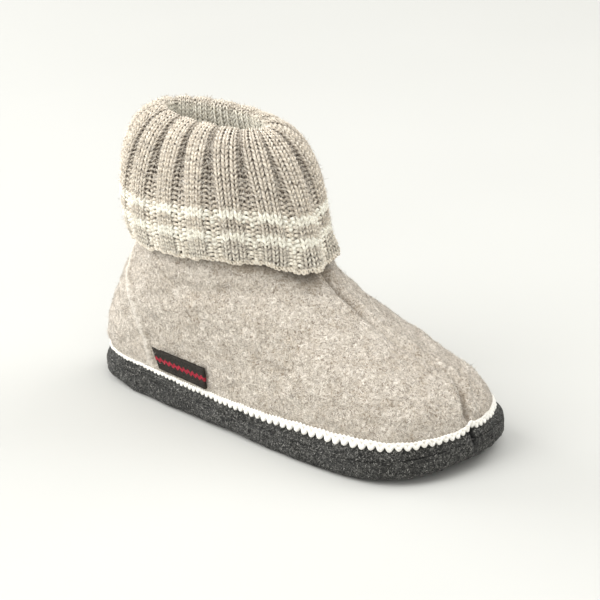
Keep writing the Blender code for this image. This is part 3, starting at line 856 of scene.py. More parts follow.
def knit_course(course):
    """Middle line, outward direction, radius, how dark the loops are with painted shade, and how cream with
    painted light inside, of the yarn of one course.
    """
    style = CREAM_YARN if course in STRIPES else PLAIN_YARN
    even = TURN * np.arange(WALES * LOOP_STEPS) / LOOP_STEPS
    turn = even - 0.5 * LOOP_CROWD * np.sin(2.0 * even)
    wale = turn / TURN + 0.5
    from_edge = 0.5 * KNIT_WALES - np.abs(within_rib(wale) - 0.5 * KNIT_WALES)
    face = np.clip(from_edge / FACE_TURN, -1.0, 1.0)
    front = 0.5 * (face + 1.0)
    leaned = wale + blend(PURL_LEAN, KNIT_LEAN, front) * np.sin(2.0 * turn) / TURN
    uneven = ripple(wale, ((0.10, 1.7, course * 2.3), (0.08, 0.53, course * 5.1)))
    sag = PURL_SAG * (1.0 - rib_raise(wale)) * soft_step(SAG_START, course) * soft_step(SAG_END, course)
    tall = blend(PURL_REACH, KNIT_REACH, front)
    reach = reach_of(course - sag + tall * np.cos(turn) + uneven, wale / WALES)
    points, normal, width = cuff_frame(wale_share(leaned, reach), reach)
    raised = knit_share(reach)
    wale_width = blend((1.0 - raised) * width / PURL_WALES, raised * width / KNIT_WALES, front)
    radius = np.clip(YARN_FILL * wale_width, YARN_MIN, YARN_MAX)
    radius = radius * blend(style.fat_purl, style.fat_knit, front)
    behind = face * np.cos(2.0 * turn)
    border = front * soft_step(WALE_BORDER, np.abs(2.0 * np.mod(leaned, 1.0) - 1.0))
    out = knit_centre(leaned, reach) - LOOP_DEPTH * behind - WALE_ROUND * border
    out = out + hem_curl(wale / WALES, reach)

    # Painted shade in the valleys, where the yarn runs behind and between wales; inside the cuff it is weaker
    # and painted light makes the yarn more cream
    within = soft_step(INSIDE, reach)
    shading = 1.0 - INSIDE_LESS_PAINTED_SHADE * within
    pick = np.random.default_rng(COURSE_SEED + course)
    tone = 1.0 + LOOP_SHADE * pick.normal(size=WALES)[np.floor(wale).astype(int) % WALES]
    tone = tone * (1.0 - style.valley * (1.0 - rib_raise(leaned)) * np.interp(reach, *VALLEY_PAINTED_SHADE))
    sunk = blend(style.behind_purl, style.behind_knit, front)
    tone = tone * (1.0 - shading * sunk * 0.5 * (1.0 + behind))
    tone = tone * (1.0 - shading * style.border * border)
    cream = np.maximum(style.cream, INSIDE_PAINTED_LIGHT * within + HEM_CREAM * soft_step(HEM_CREAM_END, reach))
    return points + out[:, None] * normal, normal, radius, np.clip(tone, 0.0, 1.0), cream


# Meshes
def grid_faces(rows, columns, round_columns=True, round_rows=False):
    """Quads between the points of a grid."""
    i = np.arange(rows if round_rows else rows - 1)[:, None]
    j = np.arange(columns if round_columns else columns - 1)[None, :]
    below = (i % rows) * columns
    above = ((i + 1) % rows) * columns
    right = (j + 1) % columns
    return np.stack([below + j, below + right, above + right, above + j], axis=-1).reshape(-1, 4)


def grid_normals(grid):
    """Outward directions of a grid that is closed along its columns."""
    sweep = np.roll(grid, -1, axis=1) - np.roll(grid, 1, axis=1)
    climb = np.gradient(grid, axis=0)
    return unit(np.cross(sweep, climb))


def tubes(paths, normals, radii, sides):
    """Round yarn along closed paths, as points and quads: one path per row."""
    along = unit(np.roll(paths, -1, axis=1) - np.roll(paths, 1, axis=1))
    outward = unit(normals - (normals * along).sum(axis=-1, keepdims=True) * along)
    across = np.cross(along, outward)
    turn = TURN * np.arange(sides) / sides
    ring = np.cos(turn)[:, None] * outward[:, :, None, :] + np.sin(turn)[:, None] * across[:, :, None, :]
    points = paths[:, :, None, :] + radii[:, :, None, None] * ring
    count, steps = paths.shape[:2]
    one = grid_faces(steps, sides, True, True)
    faces = (one[None] + (np.arange(count) * steps * sides)[:, None, None]).reshape(-1, 4)
    return points.reshape(-1, 3), faces[:, ::-1]


def cap_faces(ring, start, height_of, steps):
    """Close a ring with cross rows: the new points and the faces that join them to the ring."""
    count = len(ring)
    half = count // 2
    points = []
    rows = [[0] * (steps + 1)]
    for i in range(1, half):
        row = [i]
        for k in range(1, steps):
            point = ring[i] + (ring[count - i] - ring[i]) * k / steps
            row.append(start + len(points))
            points.append((point[0], point[1], height_of(point[0], point[1])))
        rows.append(row + [count - i])
    rows.append([half] * (steps + 1))
    faces = []
    for back, front in zip(rows, rows[1:]):
        for k in range(steps):
            faces.append(tuple(dict.fromkeys((back[k], front[k], front[k + 1], back[k + 1]))))
    return np.array(points), faces


def scatter(points, faces, count):
    """Random places on quads, even over their area, with outward directions."""
    corners = points[faces]
    normal = np.cross(corners[:, 2] - corners[:, 0], corners[:, 3] - corners[:, 1])
    size = np.linalg.norm(normal, axis=1)
    pick = RANDOM.choice(len(faces), count, p=size / size.sum())
    u, v = RANDOM.random((2, count, 1))
    a, b, c, d = (corners[pick, k] for k in range(4))
    at = (1.0 - v) * ((1.0 - u) * a + u * b) + v * ((1.0 - u) * d + u * c)
    return at, normal[pick] / size[pick][:, None]


def fibres(at, normal, style):
    """Fine ribbons lying on a surface and curling a little off it: points and faces."""
    count = len(at)
    guess = RANDOM.normal(size=(count, 3))
    along = unit(guess - (guess * normal).sum(axis=1, keepdims=True) * normal)
    side = np.cross(normal, along)
    length = style.length * RANDOM.uniform(*FIBRE_LENGTHS, (count, 1))
    bend = style.bend * RANDOM.normal(size=(count, 1)) * length
    lift = style.lift * RANDOM.random((count, 1))**FIBRE_LIE
    half = 0.5 * style.width * RANDOM.uniform(*FIBRE_WIDTHS, (count, 1)) * side
    start = at - 0.5 * length * along - FIBRE_ROOT * normal
    middle = at + 0.25 * bend * side + (FIBRE_CROWN + 0.4 * lift) * normal
    tip = at + 0.5 * length * along + bend * side + lift * normal
    points = np.stack([start - half, start + half, middle - half, middle + half, tip], axis=1)
    first = np.arange(count)[:, None] * FIBRE_POINTS
    quads = (first + np.array([0, 1, 3, 2])).tolist()
    tips = (first + np.array([2, 3, 4])).tolist()
    return points.reshape(-1, 3), quads + tips


def add_object(name, data):
    """Object in the scene."""
    item = bpy.data.objects.new(name, data)
    bpy.context.scene.collection.objects.link(item)
    return item


def make_piece(name, points, faces, material, slot, replaced=(), **numbers):
    """Object of the slipper from points and faces, with a number per point for its material."""
    mesh = bpy.data.meshes.new(name)
    mesh.from_pydata(np.asarray(points).tolist(), [], faces if isinstance(faces, list) else faces.tolist())
    for key, values in numbers.items():
        layer = mesh.attributes.new(key, "FLOAT", "POINT")
        layer.data.foreach_set("value", np.asarray(values, np.float32))
    mesh.shade_smooth()
    mesh.materials.append(material)
    piece = add_object(name, mesh)
    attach(piece, "root")
    if replaced:
        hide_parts(*replaced)


def make_fuzz(name, at, normal, styles, shade, material, slot):
    """Piece of loose fibres, layer by layer, each over the first of the places given."""
    points = np.zeros((0, 3))
    faces = []
    for style in styles:
        layer, layer_faces = fibres(at[:style.count], normal[:style.count], style)
        faces += [[index + len(points) for index in face] for face in layer_faces]
        points = np.vstack([points, layer])
    shades = np.clip(RANDOM.normal(*shade, len(points) // FIBRE_POINTS), 0.0, 1.0)
    make_piece(name, points, faces, material, slot, shade=np.repeat(shades, FIBRE_POINTS))


# Finishes
def srgb(red, green, blue):
    """Colour from 0 to 255 as light, with alpha."""
    values = np.array([red, green, blue]) / 255.0
    return (*np.where(values > 0.04045, ((values + 0.055) / 1.055)**2.4, values / 12.92), 1.0)


class Finish:
    """Material with a short way to add and join its nodes."""

    def __init__(self, name, roughness, sheen=0.0, specular=0.2):
        self.material = bpy.data.materials.new(name)
        self.material.use_nodes = True
        self.tree = self.material.node_tree
        self.shader = self.tree.nodes["Principled BSDF"]
        looks = (("Roughness", roughness), ("Specular IOR Level", specular),
                 ("Sheen Weight", sheen), ("Sheen Roughness", SHEEN_ROUGHNESS))
        for key, value in looks:
            self.shader.inputs[key].default_value = value
        self.place = self.add("ShaderNodeTexCoord").outputs["Object"]

    def add(self, kind, settings=(), **inputs):
        """New node; an input is a socket to join from or a value, and i0 is the first by number."""
        node = self.tree.nodes.new(kind)
        for key, value in dict(settings).items():
            setattr(node, key, value)
        for key, value in inputs.items():
            socket = node.inputs[int(key[1:])] if key[0] == "i" and key[1:].isdigit() else node.inputs[key]
            if isinstance(value, bpy.types.NodeSocket):
                self.tree.links.new(value, socket)
            else:
                socket.default_value = value
        return node

    def noise(self, size, detail=2.0, roughness=0.55):
        """Noise with features of a size in metres."""
        return self.add("ShaderNodeTexNoise", Vector=self.place, Scale=1.0 / size, Detail=detail,
                        Roughness=roughness).outputs["Fac"]

    def ramp(self, value, *stops):
        """Colours, as numbers from 0 to 255, at places from 0 to 1."""
        node = self.add("ShaderNodeValToRGB", Fac=value)
        marks = node.color_ramp.elements
        while len(marks) < len(stops):
            marks.new(1.0)
        for mark, (at, colour) in zip(marks, stops):
            mark.position = at
            mark.color = srgb(*colour)
        return node.outputs["Color"]

    def mix(self, share, first, second, kind="MIX"):
        """Two colours mixed, each a socket or numbers from 0 to 255."""
        ends = [srgb(*end) if isinstance(end, tuple) else end for end in (first, second)]
        settings = {"data_type": "RGBA", "blend_type": kind}
        node = self.add("ShaderNodeMix", settings, i0=share, i6=ends[0], i7=ends[1])
        return node.outputs[2]

    def sums(self, kind, *values):
        """Numbers worked together by one operation."""
        inputs = {f"i{index}": value for index, value in enumerate(values)}
        return self.add("ShaderNodeMath", {"operation": kind}, **inputs).outputs[0]

    def number(self, name):
        """One of the mesh's own numbers."""
        return self.add("ShaderNodeAttribute", {"attribute_name": name}).outputs["Fac"]

    def colour(self, socket):
        """Set the base colour."""
        self.tree.links.new(socket, self.shader.inputs["Base Color"])
        return self

    def bump(self, height, distance, strength=1.0):
        """Set the bump."""
        node = self.add("ShaderNodeBump", Height=height, Distance=distance, Strength=strength)
        self.tree.links.new(node.outputs["Normal"], self.shader.inputs["Normal"])
        return self


def felt_finish(name, sheen, dark, middle, light, patch, groove):
    """Heathered felt: light and dark fibres, soft patches, painted light on the heel panel, painted shade in
    seams, grooves and under the hem, matted bump.
    """
    finish = Finish(name, 0.95, sheen)
    fibre = finish.sums("ADD", finish.sums("MULTIPLY", finish.noise(0.0008, 2.0, 0.6), 0.5),
                        finish.sums("MULTIPLY", finish.noise(0.0017, 2.0, 0.6), 0.5))
    heather = finish.ramp(fibre, (0.38, dark), (0.50, middle), (0.60, light))
    tint = finish.ramp(finish.noise(0.012, 3.0), (0.38, patch), (0.58, (255, 255, 255)))
    # The mesh's numbers paint light on the heel panel, and shade into seams, grooves and under the hem,
    # darkest in the groove colour
    plain = finish.mix(finish.number("pale"), finish.mix(1.0, heather, tint, "MULTIPLY"), light)
    shaded = finish.mix(finish.number("hollow"), plain, dark)
    finish.colour(finish.mix(finish.sums("MULTIPLY", finish.number("hollow"), 0.75), shaded, groove))
    matted = finish.sums("ADD", finish.noise(0.0024, 4.0, 0.65), finish.noise(0.0009, 2.0))
    return finish.bump(matted, 0.0009, 1.0).material


def fibre_finish(name, sheen, dark, middle, light):
    """Single fibres, each with its own shade."""
    finish = Finish(name, 0.9, sheen, 0.1)
    shades = finish.ramp(finish.number("shade"), (0.0, dark), (0.5, middle), (1.0, light))
    return finish.colour(shades).material


def knit_finish():
    """Marled yarn: light and dark fibres twisted together, cream in the stripes, paler inside the cuff as
    painted light, darkened to brown as painted shade.
    """
    finish = Finish("rib_knit_yarn", 0.92, 0.15, 0.15)
    marl = finish.ramp(finish.noise(0.0009, 3.0, 0.7),
                       (0.32, (166, 150, 129)), (0.46, (246, 233, 213)), (0.60, (255, 248, 233)))
    cream = finish.ramp(finish.noise(0.0009, 3.0, 0.7), (0.30, (243, 236, 218)), (0.55, (255, 253, 240)))
    yarn = finish.mix(finish.number("cream"), marl, cream)
    # Uneven loops and painted shade darken the yarn towards brown
    finish.colour(finish.mix(finish.number("tone"), (58, 44, 32), yarn))
    return finish.bump(finish.noise(0.0005, 3.0, 0.7), 0.0004, 0.8).material


def yarn_finish():
    """Off-white yarn."""
    finish = Finish("edging_yarn_white", 0.85, 0.1, 0.2)
    fibre = finish.noise(0.0008, 3.0, 0.6)
    finish.colour(finish.ramp(fibre, (0.30, (226, 222, 211)), (0.60, (250, 248, 242))))
    return finish.bump(finish.noise(0.0005, 2.0), 0.0003, 0.7).material


def label_finish():
    """Dark woven tape with a plain red zigzag."""
    finish = Finish("label_tape", 0.8, 0.0, 0.2)
    height = finish.number("height")
    length = finish.number("length")
    weft = finish.sums("SINE", finish.sums("MULTIPLY", height, WEFT_RATE))
    warp = finish.sums("SINE", finish.sums("MULTIPLY", length, WARP_RATE))
    weave = finish.sums("MULTIPLY", weft, warp)
    tape = finish.ramp(finish.noise(0.0009, 2.0), (0.30, (30, 27, 25)), (0.70, (62, 57, 50)))
    red = finish.ramp(finish.noise(0.0007, 2.0), (0.35, (118, 26, 40)), (0.65, (200, 50, 70)))
    zigzag = finish.sums("PINGPONG", length, ZIGZAG_STEP)
    middle = finish.sums("ADD", finish.sums("MULTIPLY", zigzag, ZIGZAG_SLOPE), ZIGZAG_LOW)
    line = finish.sums("COMPARE", height, middle, ZIGZAG_HALF)
    return finish.colour(finish.mix(line, tape, red)).bump(weave, 0.0003, 0.6).material


# Felts: sheen, dark, middle and light fibres, soft patches, and the colour of the deepest painted shade
WOOL = felt_finish("boiled_wool_felt", 0.2, (146, 134, 119), (208, 199, 185), (240, 233, 222),
                   (224, 219, 212), (60, 52, 44))
WOOL_FIBRE = fibre_finish("boiled_wool_fibre", 0.15, (106, 94, 82), (204, 195, 182), (243, 237, 228))
SOLE = felt_finish("charcoal_felt_matted", 0.1, (28, 28, 28), (57, 57, 55), (102, 101, 97),
                   (210, 209, 208), (10, 10, 10))
SOLE_FIBRE = fibre_finish("charcoal_felt_fibre", 0.0, (22, 22, 22), (68, 68, 65), (176, 174, 168))
FOOTBED = felt_finish("footbed_felt_soft", 0.2, (140, 130, 117), (178, 168, 154), (205, 196, 183),
                      (226, 222, 216), (60, 52, 44))
KNIT_YARN = knit_finish()
KNIT_FIBRE = fibre_finish("rib_knit_fibre", 0.0, (150, 138, 124), (200, 190, 176), (240, 234, 224))
WHITE_YARN = yarn_finish()
TAPE = label_finish()


# Pieces
def close_places(count):
    """Places around the shoe, closer together at the toe and the heel."""
    even = np.arange(count) / count
    return even - COLUMN_PULL * np.sin(4.0 * np.pi * even) / (4.0 * np.pi)


def build_upper():
    """Felt wall from the edging to the collar, with its loose fibres."""
    columns = close_places(UPPER_COLUMNS)
    around, up = spread(columns, np.linspace(0.0, 1.0, UPPER_ROWS))
    outer = upper_face(around, up)
    # Painted shade in the seams and under the hem, and painted light on the heel panel
    hollow = painted_felt_shade(around, up)
    pale = heel_pale(around, up)
    inside = spread(columns, np.linspace(1.0, UPPER_INNER_FOOT, UPPER_INNER_ROWS))
    wall, normal, _, _ = upper_frame(*inside)
    unseen = np.zeros(len(wall))
    faces = grid_faces(UPPER_ROWS + UPPER_INNER_ROWS, UPPER_COLUMNS, True, True)
    make_piece("upper_felt", np.vstack([outer, wall - WALL * normal]), faces, WOOL, "boiled_wool", ("upper",),
               hollow=np.concatenate([hollow, unseen]), pale=np.concatenate([pale, unseen]))
    # No fibres where the painted shade or painted light is strong
    shown = grid_faces(int(UPPER_ROWS * FUZZ_ROWS_SHARE), UPPER_COLUMNS)
    plain = (hollow[shown].max(axis=1) < FUZZ_PAINTED_SHADE_LIMIT) & (pale[shown].max(axis=1) < FUZZ_PAINTED_LIGHT_LIMIT)
    at, normal = scatter(outer, shown[plain], UPPER_FUZZ[0].count)
    make_fuzz("upper_fibres", at, normal, UPPER_FUZZ, UPPER_FUZZ_SHADE, WOOL_FIBRE, "boiled_wool")


def build_backing():
    """Dark sheet behind the yarn as painted shade in its gaps, from hem over crest to collar seam, with its
    own wales deep inside.
    """
    columns = np.arange(WALES * BACKING_STEPS) / BACKING_STEPS
    wale, reach = spread(columns, np.linspace(0.0, BACKING_END, BACKING_ROWS))
    points, normal, _ = cuff_frame(wale_share(wale, reach), reach)
    within = soft_step(INSIDE, reach)
    border = within * np.abs(2.0 * np.mod(wale, 1.0) - 1.0)**1.5
    out = knit_centre(wale, reach) - BACKING_SINK - WALE_ROUND * border + hem_curl(wale / WALES, reach)
    out = blend(out, -SEWN_SINK, soft_step(SEWN, reach))
    # Painted shade: dark, darker in the valleys and between wales, with painted light inside the cuff
    tone = BACKING_PAINTED_SHADE_TONE - BACKING_VALLEY_PAINTED_SHADE * (1.0 - rib_raise(wale))
    tone = tone + BACKING_INSIDE_PAINTED_LIGHT * within - BACKING_BORDER_PAINTED_SHADE * border
    make_piece("cuff_painted_shade_backing", points + out[:, None] * normal, grid_faces(BACKING_ROWS, len(columns)),
               KNIT_YARN, "rib_knit", ("cuff",), tone=tone, cream=np.zeros(len(tone)))


def build_hem():
    """Two strands of yarn twisted along the hem, where the knit is bound off."""
    wale = np.arange(WALES * HEM_STEPS) / HEM_STEPS
    lines = []
    for start in (0.0, np.pi):
        turn = TURN * wale + start
        course = HEM_COURSE + ripple(wale, HEM_RIPPLE) + HEM_SWAY * np.cos(turn)
        reach = reach_of(course, wale / WALES)
        points, normal, _ = cuff_frame(wale_share(wale, reach), reach)
        out = knit_centre(wale, reach) + HEM_TWIST * np.sin(turn) + hem_curl(wale / WALES, reach)
        lines.append((points + out[:, None] * normal, normal))
    paths, normals = (np.stack(column) for column in zip(*lines))
    radii = MM * (HEM_RADIUS_MM + ripple(wale, HEM_RADIUS_RIPPLE))
    points, faces = tubes(paths, normals, np.tile(radii, (len(lines), 1)), HEM_SIDES)
    make_piece("cuff_hem", points, faces, KNIT_YARN, "rib_knit", tone=np.full(len(points), HEM_TONE),
               cream=np.full(len(points), HEM_STRAND_CREAM))


def build_cuff():
    """Knitted courses over a backing sheet, the bound-off hem and loose fibres."""
    made = [knit_course(course) for course in range(1, COURSES)]
    for name, first, last in KNIT_PIECES:
        paths, normals, radii, tones, creams = (np.stack(column) for column in zip(*made[first:last]))
        points, faces = tubes(paths, normals, radii, YARN_SIDES)
        make_piece(name, points, faces, KNIT_YARN, "rib_knit", ("cuff",),
                   tone=np.repeat(tones.ravel(), YARN_SIDES), cream=np.repeat(creams.ravel(), YARN_SIDES))
    build_backing()
    build_hem()
    outer = np.stack([line[0] for line in made[:CUFF_FUZZ_COURSES]])
    at, _ = scatter(outer.reshape(-1, 3), grid_faces(*outer.shape[:2]), CUFF_FUZZ[0].count)
    # The cuff is about twice as long as it is wide, so outward leans more to the sides
    from_middle = at - np.array([CREST.centre, 0.0, 0.0])
    normal = unit(from_middle * np.array(CUFF_OUTWARD) + CUFF_FUZZ_TILT * UPRIGHT)
    make_fuzz("cuff_fibres", at + CUFF_FUZZ_OUT * normal, normal, CUFF_FUZZ, CUFF_FUZZ_SHADE,
              KNIT_FIBRE, "rib_knit")


def felt_lumps(grid, swells):
    """Move a grid of points in and out by the lumps of felt."""
    flat = grid.reshape(-1, 3)
    swell = sum(waves(flat, row) for row in swells)
    return (flat + swell[:, None] * grid_normals(grid).reshape(-1, 3)).reshape(grid.shape)


def close_slab(grid, bottom_height, bottom_steps, top_height, top_steps):
    """Slab from its rings of points, closed below and above by cross rows: points and faces."""
    points = grid.reshape(-1, 3)
    last = len(points) - grid.shape[1]
    bottom, bottom_faces = cap_faces(grid[0], len(points), bottom_height, bottom_steps)
    top, top_faces = cap_faces(grid[-1], len(points) + len(bottom) - last, top_height, top_steps)
    faces = grid_faces(*grid.shape[:2]).tolist()
    faces += [face[::-1] for face in bottom_faces]
    faces += [tuple(index + last for index in face) for face in top_faces]
    return np.vstack([points, bottom, top]), faces


def toe_notch(places):
    """How far a place lies in the upright seam of the rand, from 0 to 1."""
    return hill((places - 0.5) / TOE_NOTCH_HALF)


def rounding(radius, turn):
    """How far a rounded edge falls back sideways and downwards, at a turn around it."""
    return radius * (1.0 - np.cos(turn)), radius * (1.0 - np.sin(turn))


def outsole_grid(places):
    """Rings of the outsole: rounded lower edge, side and the crease under the rand."""
    notch = OUTSOLE_NOTCH * toe_notch(places)
    rings = []
    for turn in np.radians(np.linspace(0.0, 90.0, 9)):
        height, inset = rounding(EDGE_ROUND, turn)
        rings.append(sole_point(places, inset, height, blend(SIDE_LIFT, 1.0, np.cos(turn)))[0])
    for share in np.linspace(0.25, 1.0, 4):
        height = EDGE_ROUND + (OUTSOLE_TOP - SOFT_CREASE - EDGE_ROUND) * share
        inset = OUTSOLE_CROWN * share**2 + notch * share**3
        rings.append(sole_point(places, inset, height, SIDE_LIFT * (1.0 - share))[0])
    for turn in np.radians((30.0, 60.0, 90.0)):
        back, down = rounding(SOFT_CREASE, turn)
        rings.append(sole_point(places, OUTSOLE_CROWN + notch + back, OUTSOLE_TOP - down)[0])
    side = np.stack(rings)
    lumpy = felt_lumps(side, OUTSOLE_LUMPS)
    lumpy[0] = side[0]
    return lumpy


def rand_grid(places):
    """Rings of the rand: crease, outer face with the toe seam, top and inner face."""
    foot = OUTSOLE_TOP + FIT_GAP
    top, lean = rand_edge(places)
    full = top - foot - SOFT_CREASE
    seam = RAND_NOTCH * toe_notch(places)
    rings = []
    for turn in np.radians((90.0, 55.0, 20.0)):
        back, down = rounding(SOFT_CREASE, turn)
        rings.append(sole_point(places, RAND_INSET - FOOT_SWELL + back + seam, foot + down)[0])
    for share in np.linspace(0.0, 1.0, 5):
        rings.append(rand_point(places, full * (1.0 - share), FOOT_SWELL * (1.0 - share) - seam)[0])
    outer = felt_lumps(np.stack(rings), RAND_LUMPS)
    inner = RAND_INSET + lean + RAND_WALL
    back = [sole_point(places, inner, top)[0], sole_point(places, inner, foot)[0]]
    return np.vstack([outer, np.stack(back)])


def build_sole():
    """Outsole and rand of charcoal felt with their loose fibres."""
    places = close_places(SOLE_COLUMNS)
    in_seam = toe_notch(places)
    outsole = outsole_grid(places)
    points, faces = close_slab(outsole, lambda x, y: float(toe_lift(x) + underside_lift(x)),
                               OUTSOLE_CAP_STEPS, lambda x, y: float(OUTSOLE_TOP + toe_lift(x)),
                               OUTSOLE_CAP_STEPS)
    # Painted shade in the toe seam's notch, rising to the outsole's top
    seam_rise = np.clip(np.arange(len(outsole)) / (len(outsole) - 4.0), 0.0, 1.0)**4
    hollow = np.zeros(len(points))
    hollow[:outsole[..., 0].size] = (OUTSOLE_NOTCH_PAINTED_SHADE * seam_rise[:, None] * in_seam).ravel()
    make_piece("outsole_felt", points, faces, SOLE, "charcoal_felt", ("outsole",), hollow=hollow)
    rand = rand_grid(places)
    # Painted shade in the rand's toe seam notch
    make_piece("rand_felt", rand.reshape(-1, 3), grid_faces(len(rand), SOLE_COLUMNS, True, True),
               SOLE, "charcoal_felt", ("rand",), hollow=np.tile(RAND_NOTCH_PAINTED_SHADE * in_seam, len(rand)))
    clear = in_seam < FUZZ_NOTCH_LIMIT
    fuzzy = (("outsole_fibres", outsole[OUTSOLE_FUZZ_FROM:], OUTSOLE_FUZZ),
             ("rand_fibres", rand[:RAND_FUZZ_RINGS], RAND_FUZZ))
    for name, grid, styles in fuzzy:
        shown = grid_faces(len(grid), SOLE_COLUMNS)
        shown = shown[clear[shown % SOLE_COLUMNS].all(axis=1)]
        at, normal = scatter(grid.reshape(-1, 3), shown, styles[0].count)
        make_fuzz(name, at, normal, styles, SOLE_FUZZ_SHADE, SOLE_FIBRE, "charcoal_felt")


def build_insole():
    """Soft footbed, a little hollowed under the heel and the ball."""
    places = np.arange(INSOLE_COLUMNS) / INSOLE_COLUMNS
    foot = OUTSOLE_TOP + FIT_GAP
    top = foot + INSOLE_THICK
    inset = RAND_INSET + rand_edge(places)[1] + RAND_WALL + FIT_GAP
    rings = [sole_point(places, inset, foot)[0]]
    for turn in np.radians((0.0, 30.0, 60.0, 90.0)):
        back, down = rounding(CREASE_ROUND, turn)
        rings.append(sole_point(places, inset + back, top - down)[0])

    def top_height(x, y):
        """Height of the footbed's top."""
        hollow = sum(row.size * np.exp(-((x - row.x)**2 + y * y) / row.spread) for row in FOOTBED_HOLLOWS)
        swell = waves(np.array([[x, y, 0.0]]), FOOTBED_SWELL)[0]
        return float(top + toe_lift(x) - hollow + swell)

    points, faces = close_slab(np.stack(rings), lambda x, y: float(foot + toe_lift(x)), INSOLE_FOOT_STEPS,
                               top_height, INSOLE_TOP_STEPS)
    make_piece("insole_felt", points, faces, FOOTBED, "footbed_felt", ("insole",))


def edging_sizes(around):
    """Lower edge, upper edge and pitch of the edging at the places given."""
    return MM * read_rows(EDGING, around, "low", "high", "pitch")


def edging_places():
    """Steps along the edging's teeth, and the count of teeth at even places around."""
    even = np.linspace(0.0, 1.0, TABLE + 1)
    line = sole_point(even, RAND_INSET, RAND_TOP)[0]
    gone = np.linalg.norm(np.diff(line, axis=0), axis=1)
    pitch = edging_sizes(0.5 * (even[1:] + even[:-1]))[2]
    teeth = np.concatenate([[0.0], np.cumsum(gone / pitch)])
    count = int(round(teeth[-1]))
    step = np.arange(count * EDGING_STEPS) / EDGING_STEPS
    return step, teeth * count / teeth[-1], even


def edging_line(around, height, out):
    """Points a height above the joint of rand and upper and a distance out; it lifts at the toe seam."""
    notch = EDGING_NOTCH * np.clip(1.0 - np.abs(around - 0.5) / EDGING_NOTCH_HALF, 0.0, 1.0)
    return rand_point(around, -(height + notch), out)


def build_edging():
    """Fat yarn loops whose teeth hang over the rand, a thinner yarn round their tops and a strip behind."""
    step, teeth, even = edging_places()
    turn = TURN * step
    plain = np.interp(step, teeth, even)
    low, high, pitch = edging_sizes(plain)
    radius = EDGING_FILL * pitch
    around = np.interp(step + EDGING_PINCH * np.sin(turn) / TURN, teeth, even)
    uneven = MM * ripple(step, EDGING_RIPPLE)
    sway = np.clip(0.5 * (high - low) - radius, LEAST_SWAY, None)
    height = 0.5 * (low + high) + sway * np.cos(turn) + uneven
    loops, outward = edging_line(around, height, LOOPS_OUT * radius)
    whip_turn = 2.0 * turn + WHIP_START
    height = high - WHIP_DROP + WHIP_SWAY * np.cos(whip_turn) + uneven
    whip, whip_out = edging_line(plain, height, WHIP_OUT * radius + WHIP_DEPTH * np.sin(whip_turn))
    points, faces = tubes(np.stack([loops, whip]), np.stack([outward, whip_out]),
                          np.stack([radius, WHIP_FILL * radius]), EDGING_SIDES)
    make_piece("edging_loops", points, faces, WHITE_YARN, "edging_yarn", ("edging",))
    places = np.arange(SOLE_COLUMNS) / SOLE_COLUMNS
    low, high, _ = edging_sizes(places)
    strip = [edging_line(places, blend(low, high, share), out * MM)[0] for share, out in STRIP_PROFILE]
    make_piece("edging_strip", np.vstack(strip), grid_faces(len(strip), SOLE_COLUMNS),
               WHITE_YARN, "edging_yarn", ("edging",))


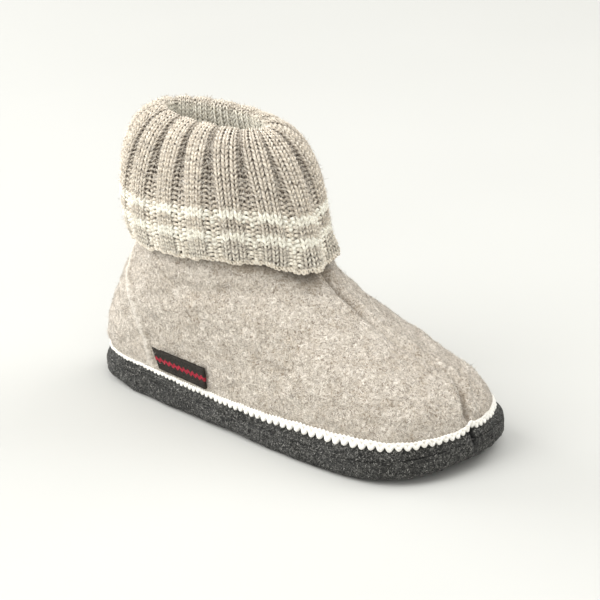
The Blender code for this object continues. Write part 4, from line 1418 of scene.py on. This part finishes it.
def build_label():
    """Woven tab without lettering on the outer heel side, a little proud at its forward end."""
    length, height = spread(np.linspace(0.0, 1.0, LABEL_COLUMNS), np.linspace(0.0, 1.0, LABEL_ROWS))
    full_rise = 3.0 * np.mean([row.rise for row in SECTIONS])
    up = blend(EDGING_ABOVE + LABEL_FOOT_GAP, EDGING_ABOVE + LABEL_HEIGHT, height) / full_rise
    around = blend(LABEL_START, LABEL_END, length) - LABEL_LEAN * height * (1.0 - length)
    edge = np.minimum(np.minimum(length, 1.0 - length) * LABEL_LENGTH_MM,
                      np.minimum(height + 0.2, 1.0 - height) * LABEL_HEIGHT_MM)
    thick = LABEL_THICK * blend(LABEL_EDGE_THICK, 1.0, smooth(edge / LABEL_EDGE_ROUND_MM))
    proud = EDGING_GAP + thick + LABEL_STANDS_OFF * length**3
    face, normal, _, width = upper_frame(around, up)
    proud = (proud + heel_relief(around, up, width))[:, None]
    front = face + (proud + LABEL_FACE_OUT) * normal
    back = face + (proud - LABEL_BACK_SHARE * LABEL_THICK) * normal
    sheet = grid_faces(LABEL_ROWS, LABEL_COLUMNS, False)
    index = np.arange(len(face)).reshape(LABEL_ROWS, LABEL_COLUMNS)
    rim = np.concatenate([index[0], index[1:, -1], index[-1, -2::-1], index[-2:0:-1, 0]])
    after = np.roll(rim, -1)
    count = len(face)
    sides = np.column_stack([rim + count, after + count, after, rim])
    make_piece("label_tape_tab", np.vstack([front, back]), np.vstack([sheet, sheet[:, ::-1] + count, sides]),
               TAPE, "label_weave", ("label_tab",), height=np.tile(height, 2), length=np.tile(length, 2))


# Studio around the slipper
def point_at(item, place, target):
    """Put a light or the camera at a place, facing a target."""
    item.location = place
    item.rotation_euler = (Vector(target) - Vector(place)).to_track_quat("-Z", "Y").to_euler()


def build_floor():
    """Pale floor."""
    mesh = bpy.data.meshes.new("floor")
    corners = [(x * FLOOR_HALF, y * FLOOR_HALF, 0.0) for x, y in ((-1, -1), (1, -1), (1, 1), (-1, 1))]
    mesh.from_pydata(corners, [], [(0, 1, 2, 3)])
    finish = Finish("pale_floor", 0.9, 0.0, 0.1)
    finish.colour(finish.ramp(finish.noise(0.35, 2.0), (0.3, (192, 192, 188)), (0.7, (195, 195, 191))))
    mesh.materials.append(finish.material)
    floor = add_object("floor", mesh)


def build_light():
    """Soft studio light: a bright world and square lamps."""
    world = bpy.data.worlds.new("studio")
    world.use_nodes = True
    background = world.node_tree.nodes["Background"]
    background.inputs["Color"].default_value = srgb(*WORLD_COLOUR)
    background.inputs["Strength"].default_value = WORLD_STRENGTH
    bpy.context.scene.world = world
    for row in LIGHTS:
        lamp = bpy.data.lights.new(row.name, "AREA")
        lamp.energy = row.power
        lamp.size = row.size
        point_at(add_object(row.name, lamp), row.place, LIGHT_TARGET)


def build_camera():
    """Camera at the photo's angle, framing the one shoe."""
    place = CAMERA_DISTANCE * np.array([np.sin(CAMERA_AROUND) * np.cos(CAMERA_UP),
                                        -np.cos(CAMERA_AROUND) * np.cos(CAMERA_UP), np.sin(CAMERA_UP)])
    data = bpy.data.cameras.new("camera")
    data.lens = CAMERA_LENS
    data.sensor_width = CAMERA_SENSOR
    camera = add_object("camera", data)
    point_at(camera, place, CAMERA_AIM)
    bpy.context.scene.camera = camera
    bpy.context.scene.view_settings.view_transform = "Standard"


build_upper()
build_cuff()
build_sole()
build_insole()
build_edging()
build_label()
build_floor()
build_light()
build_camera()
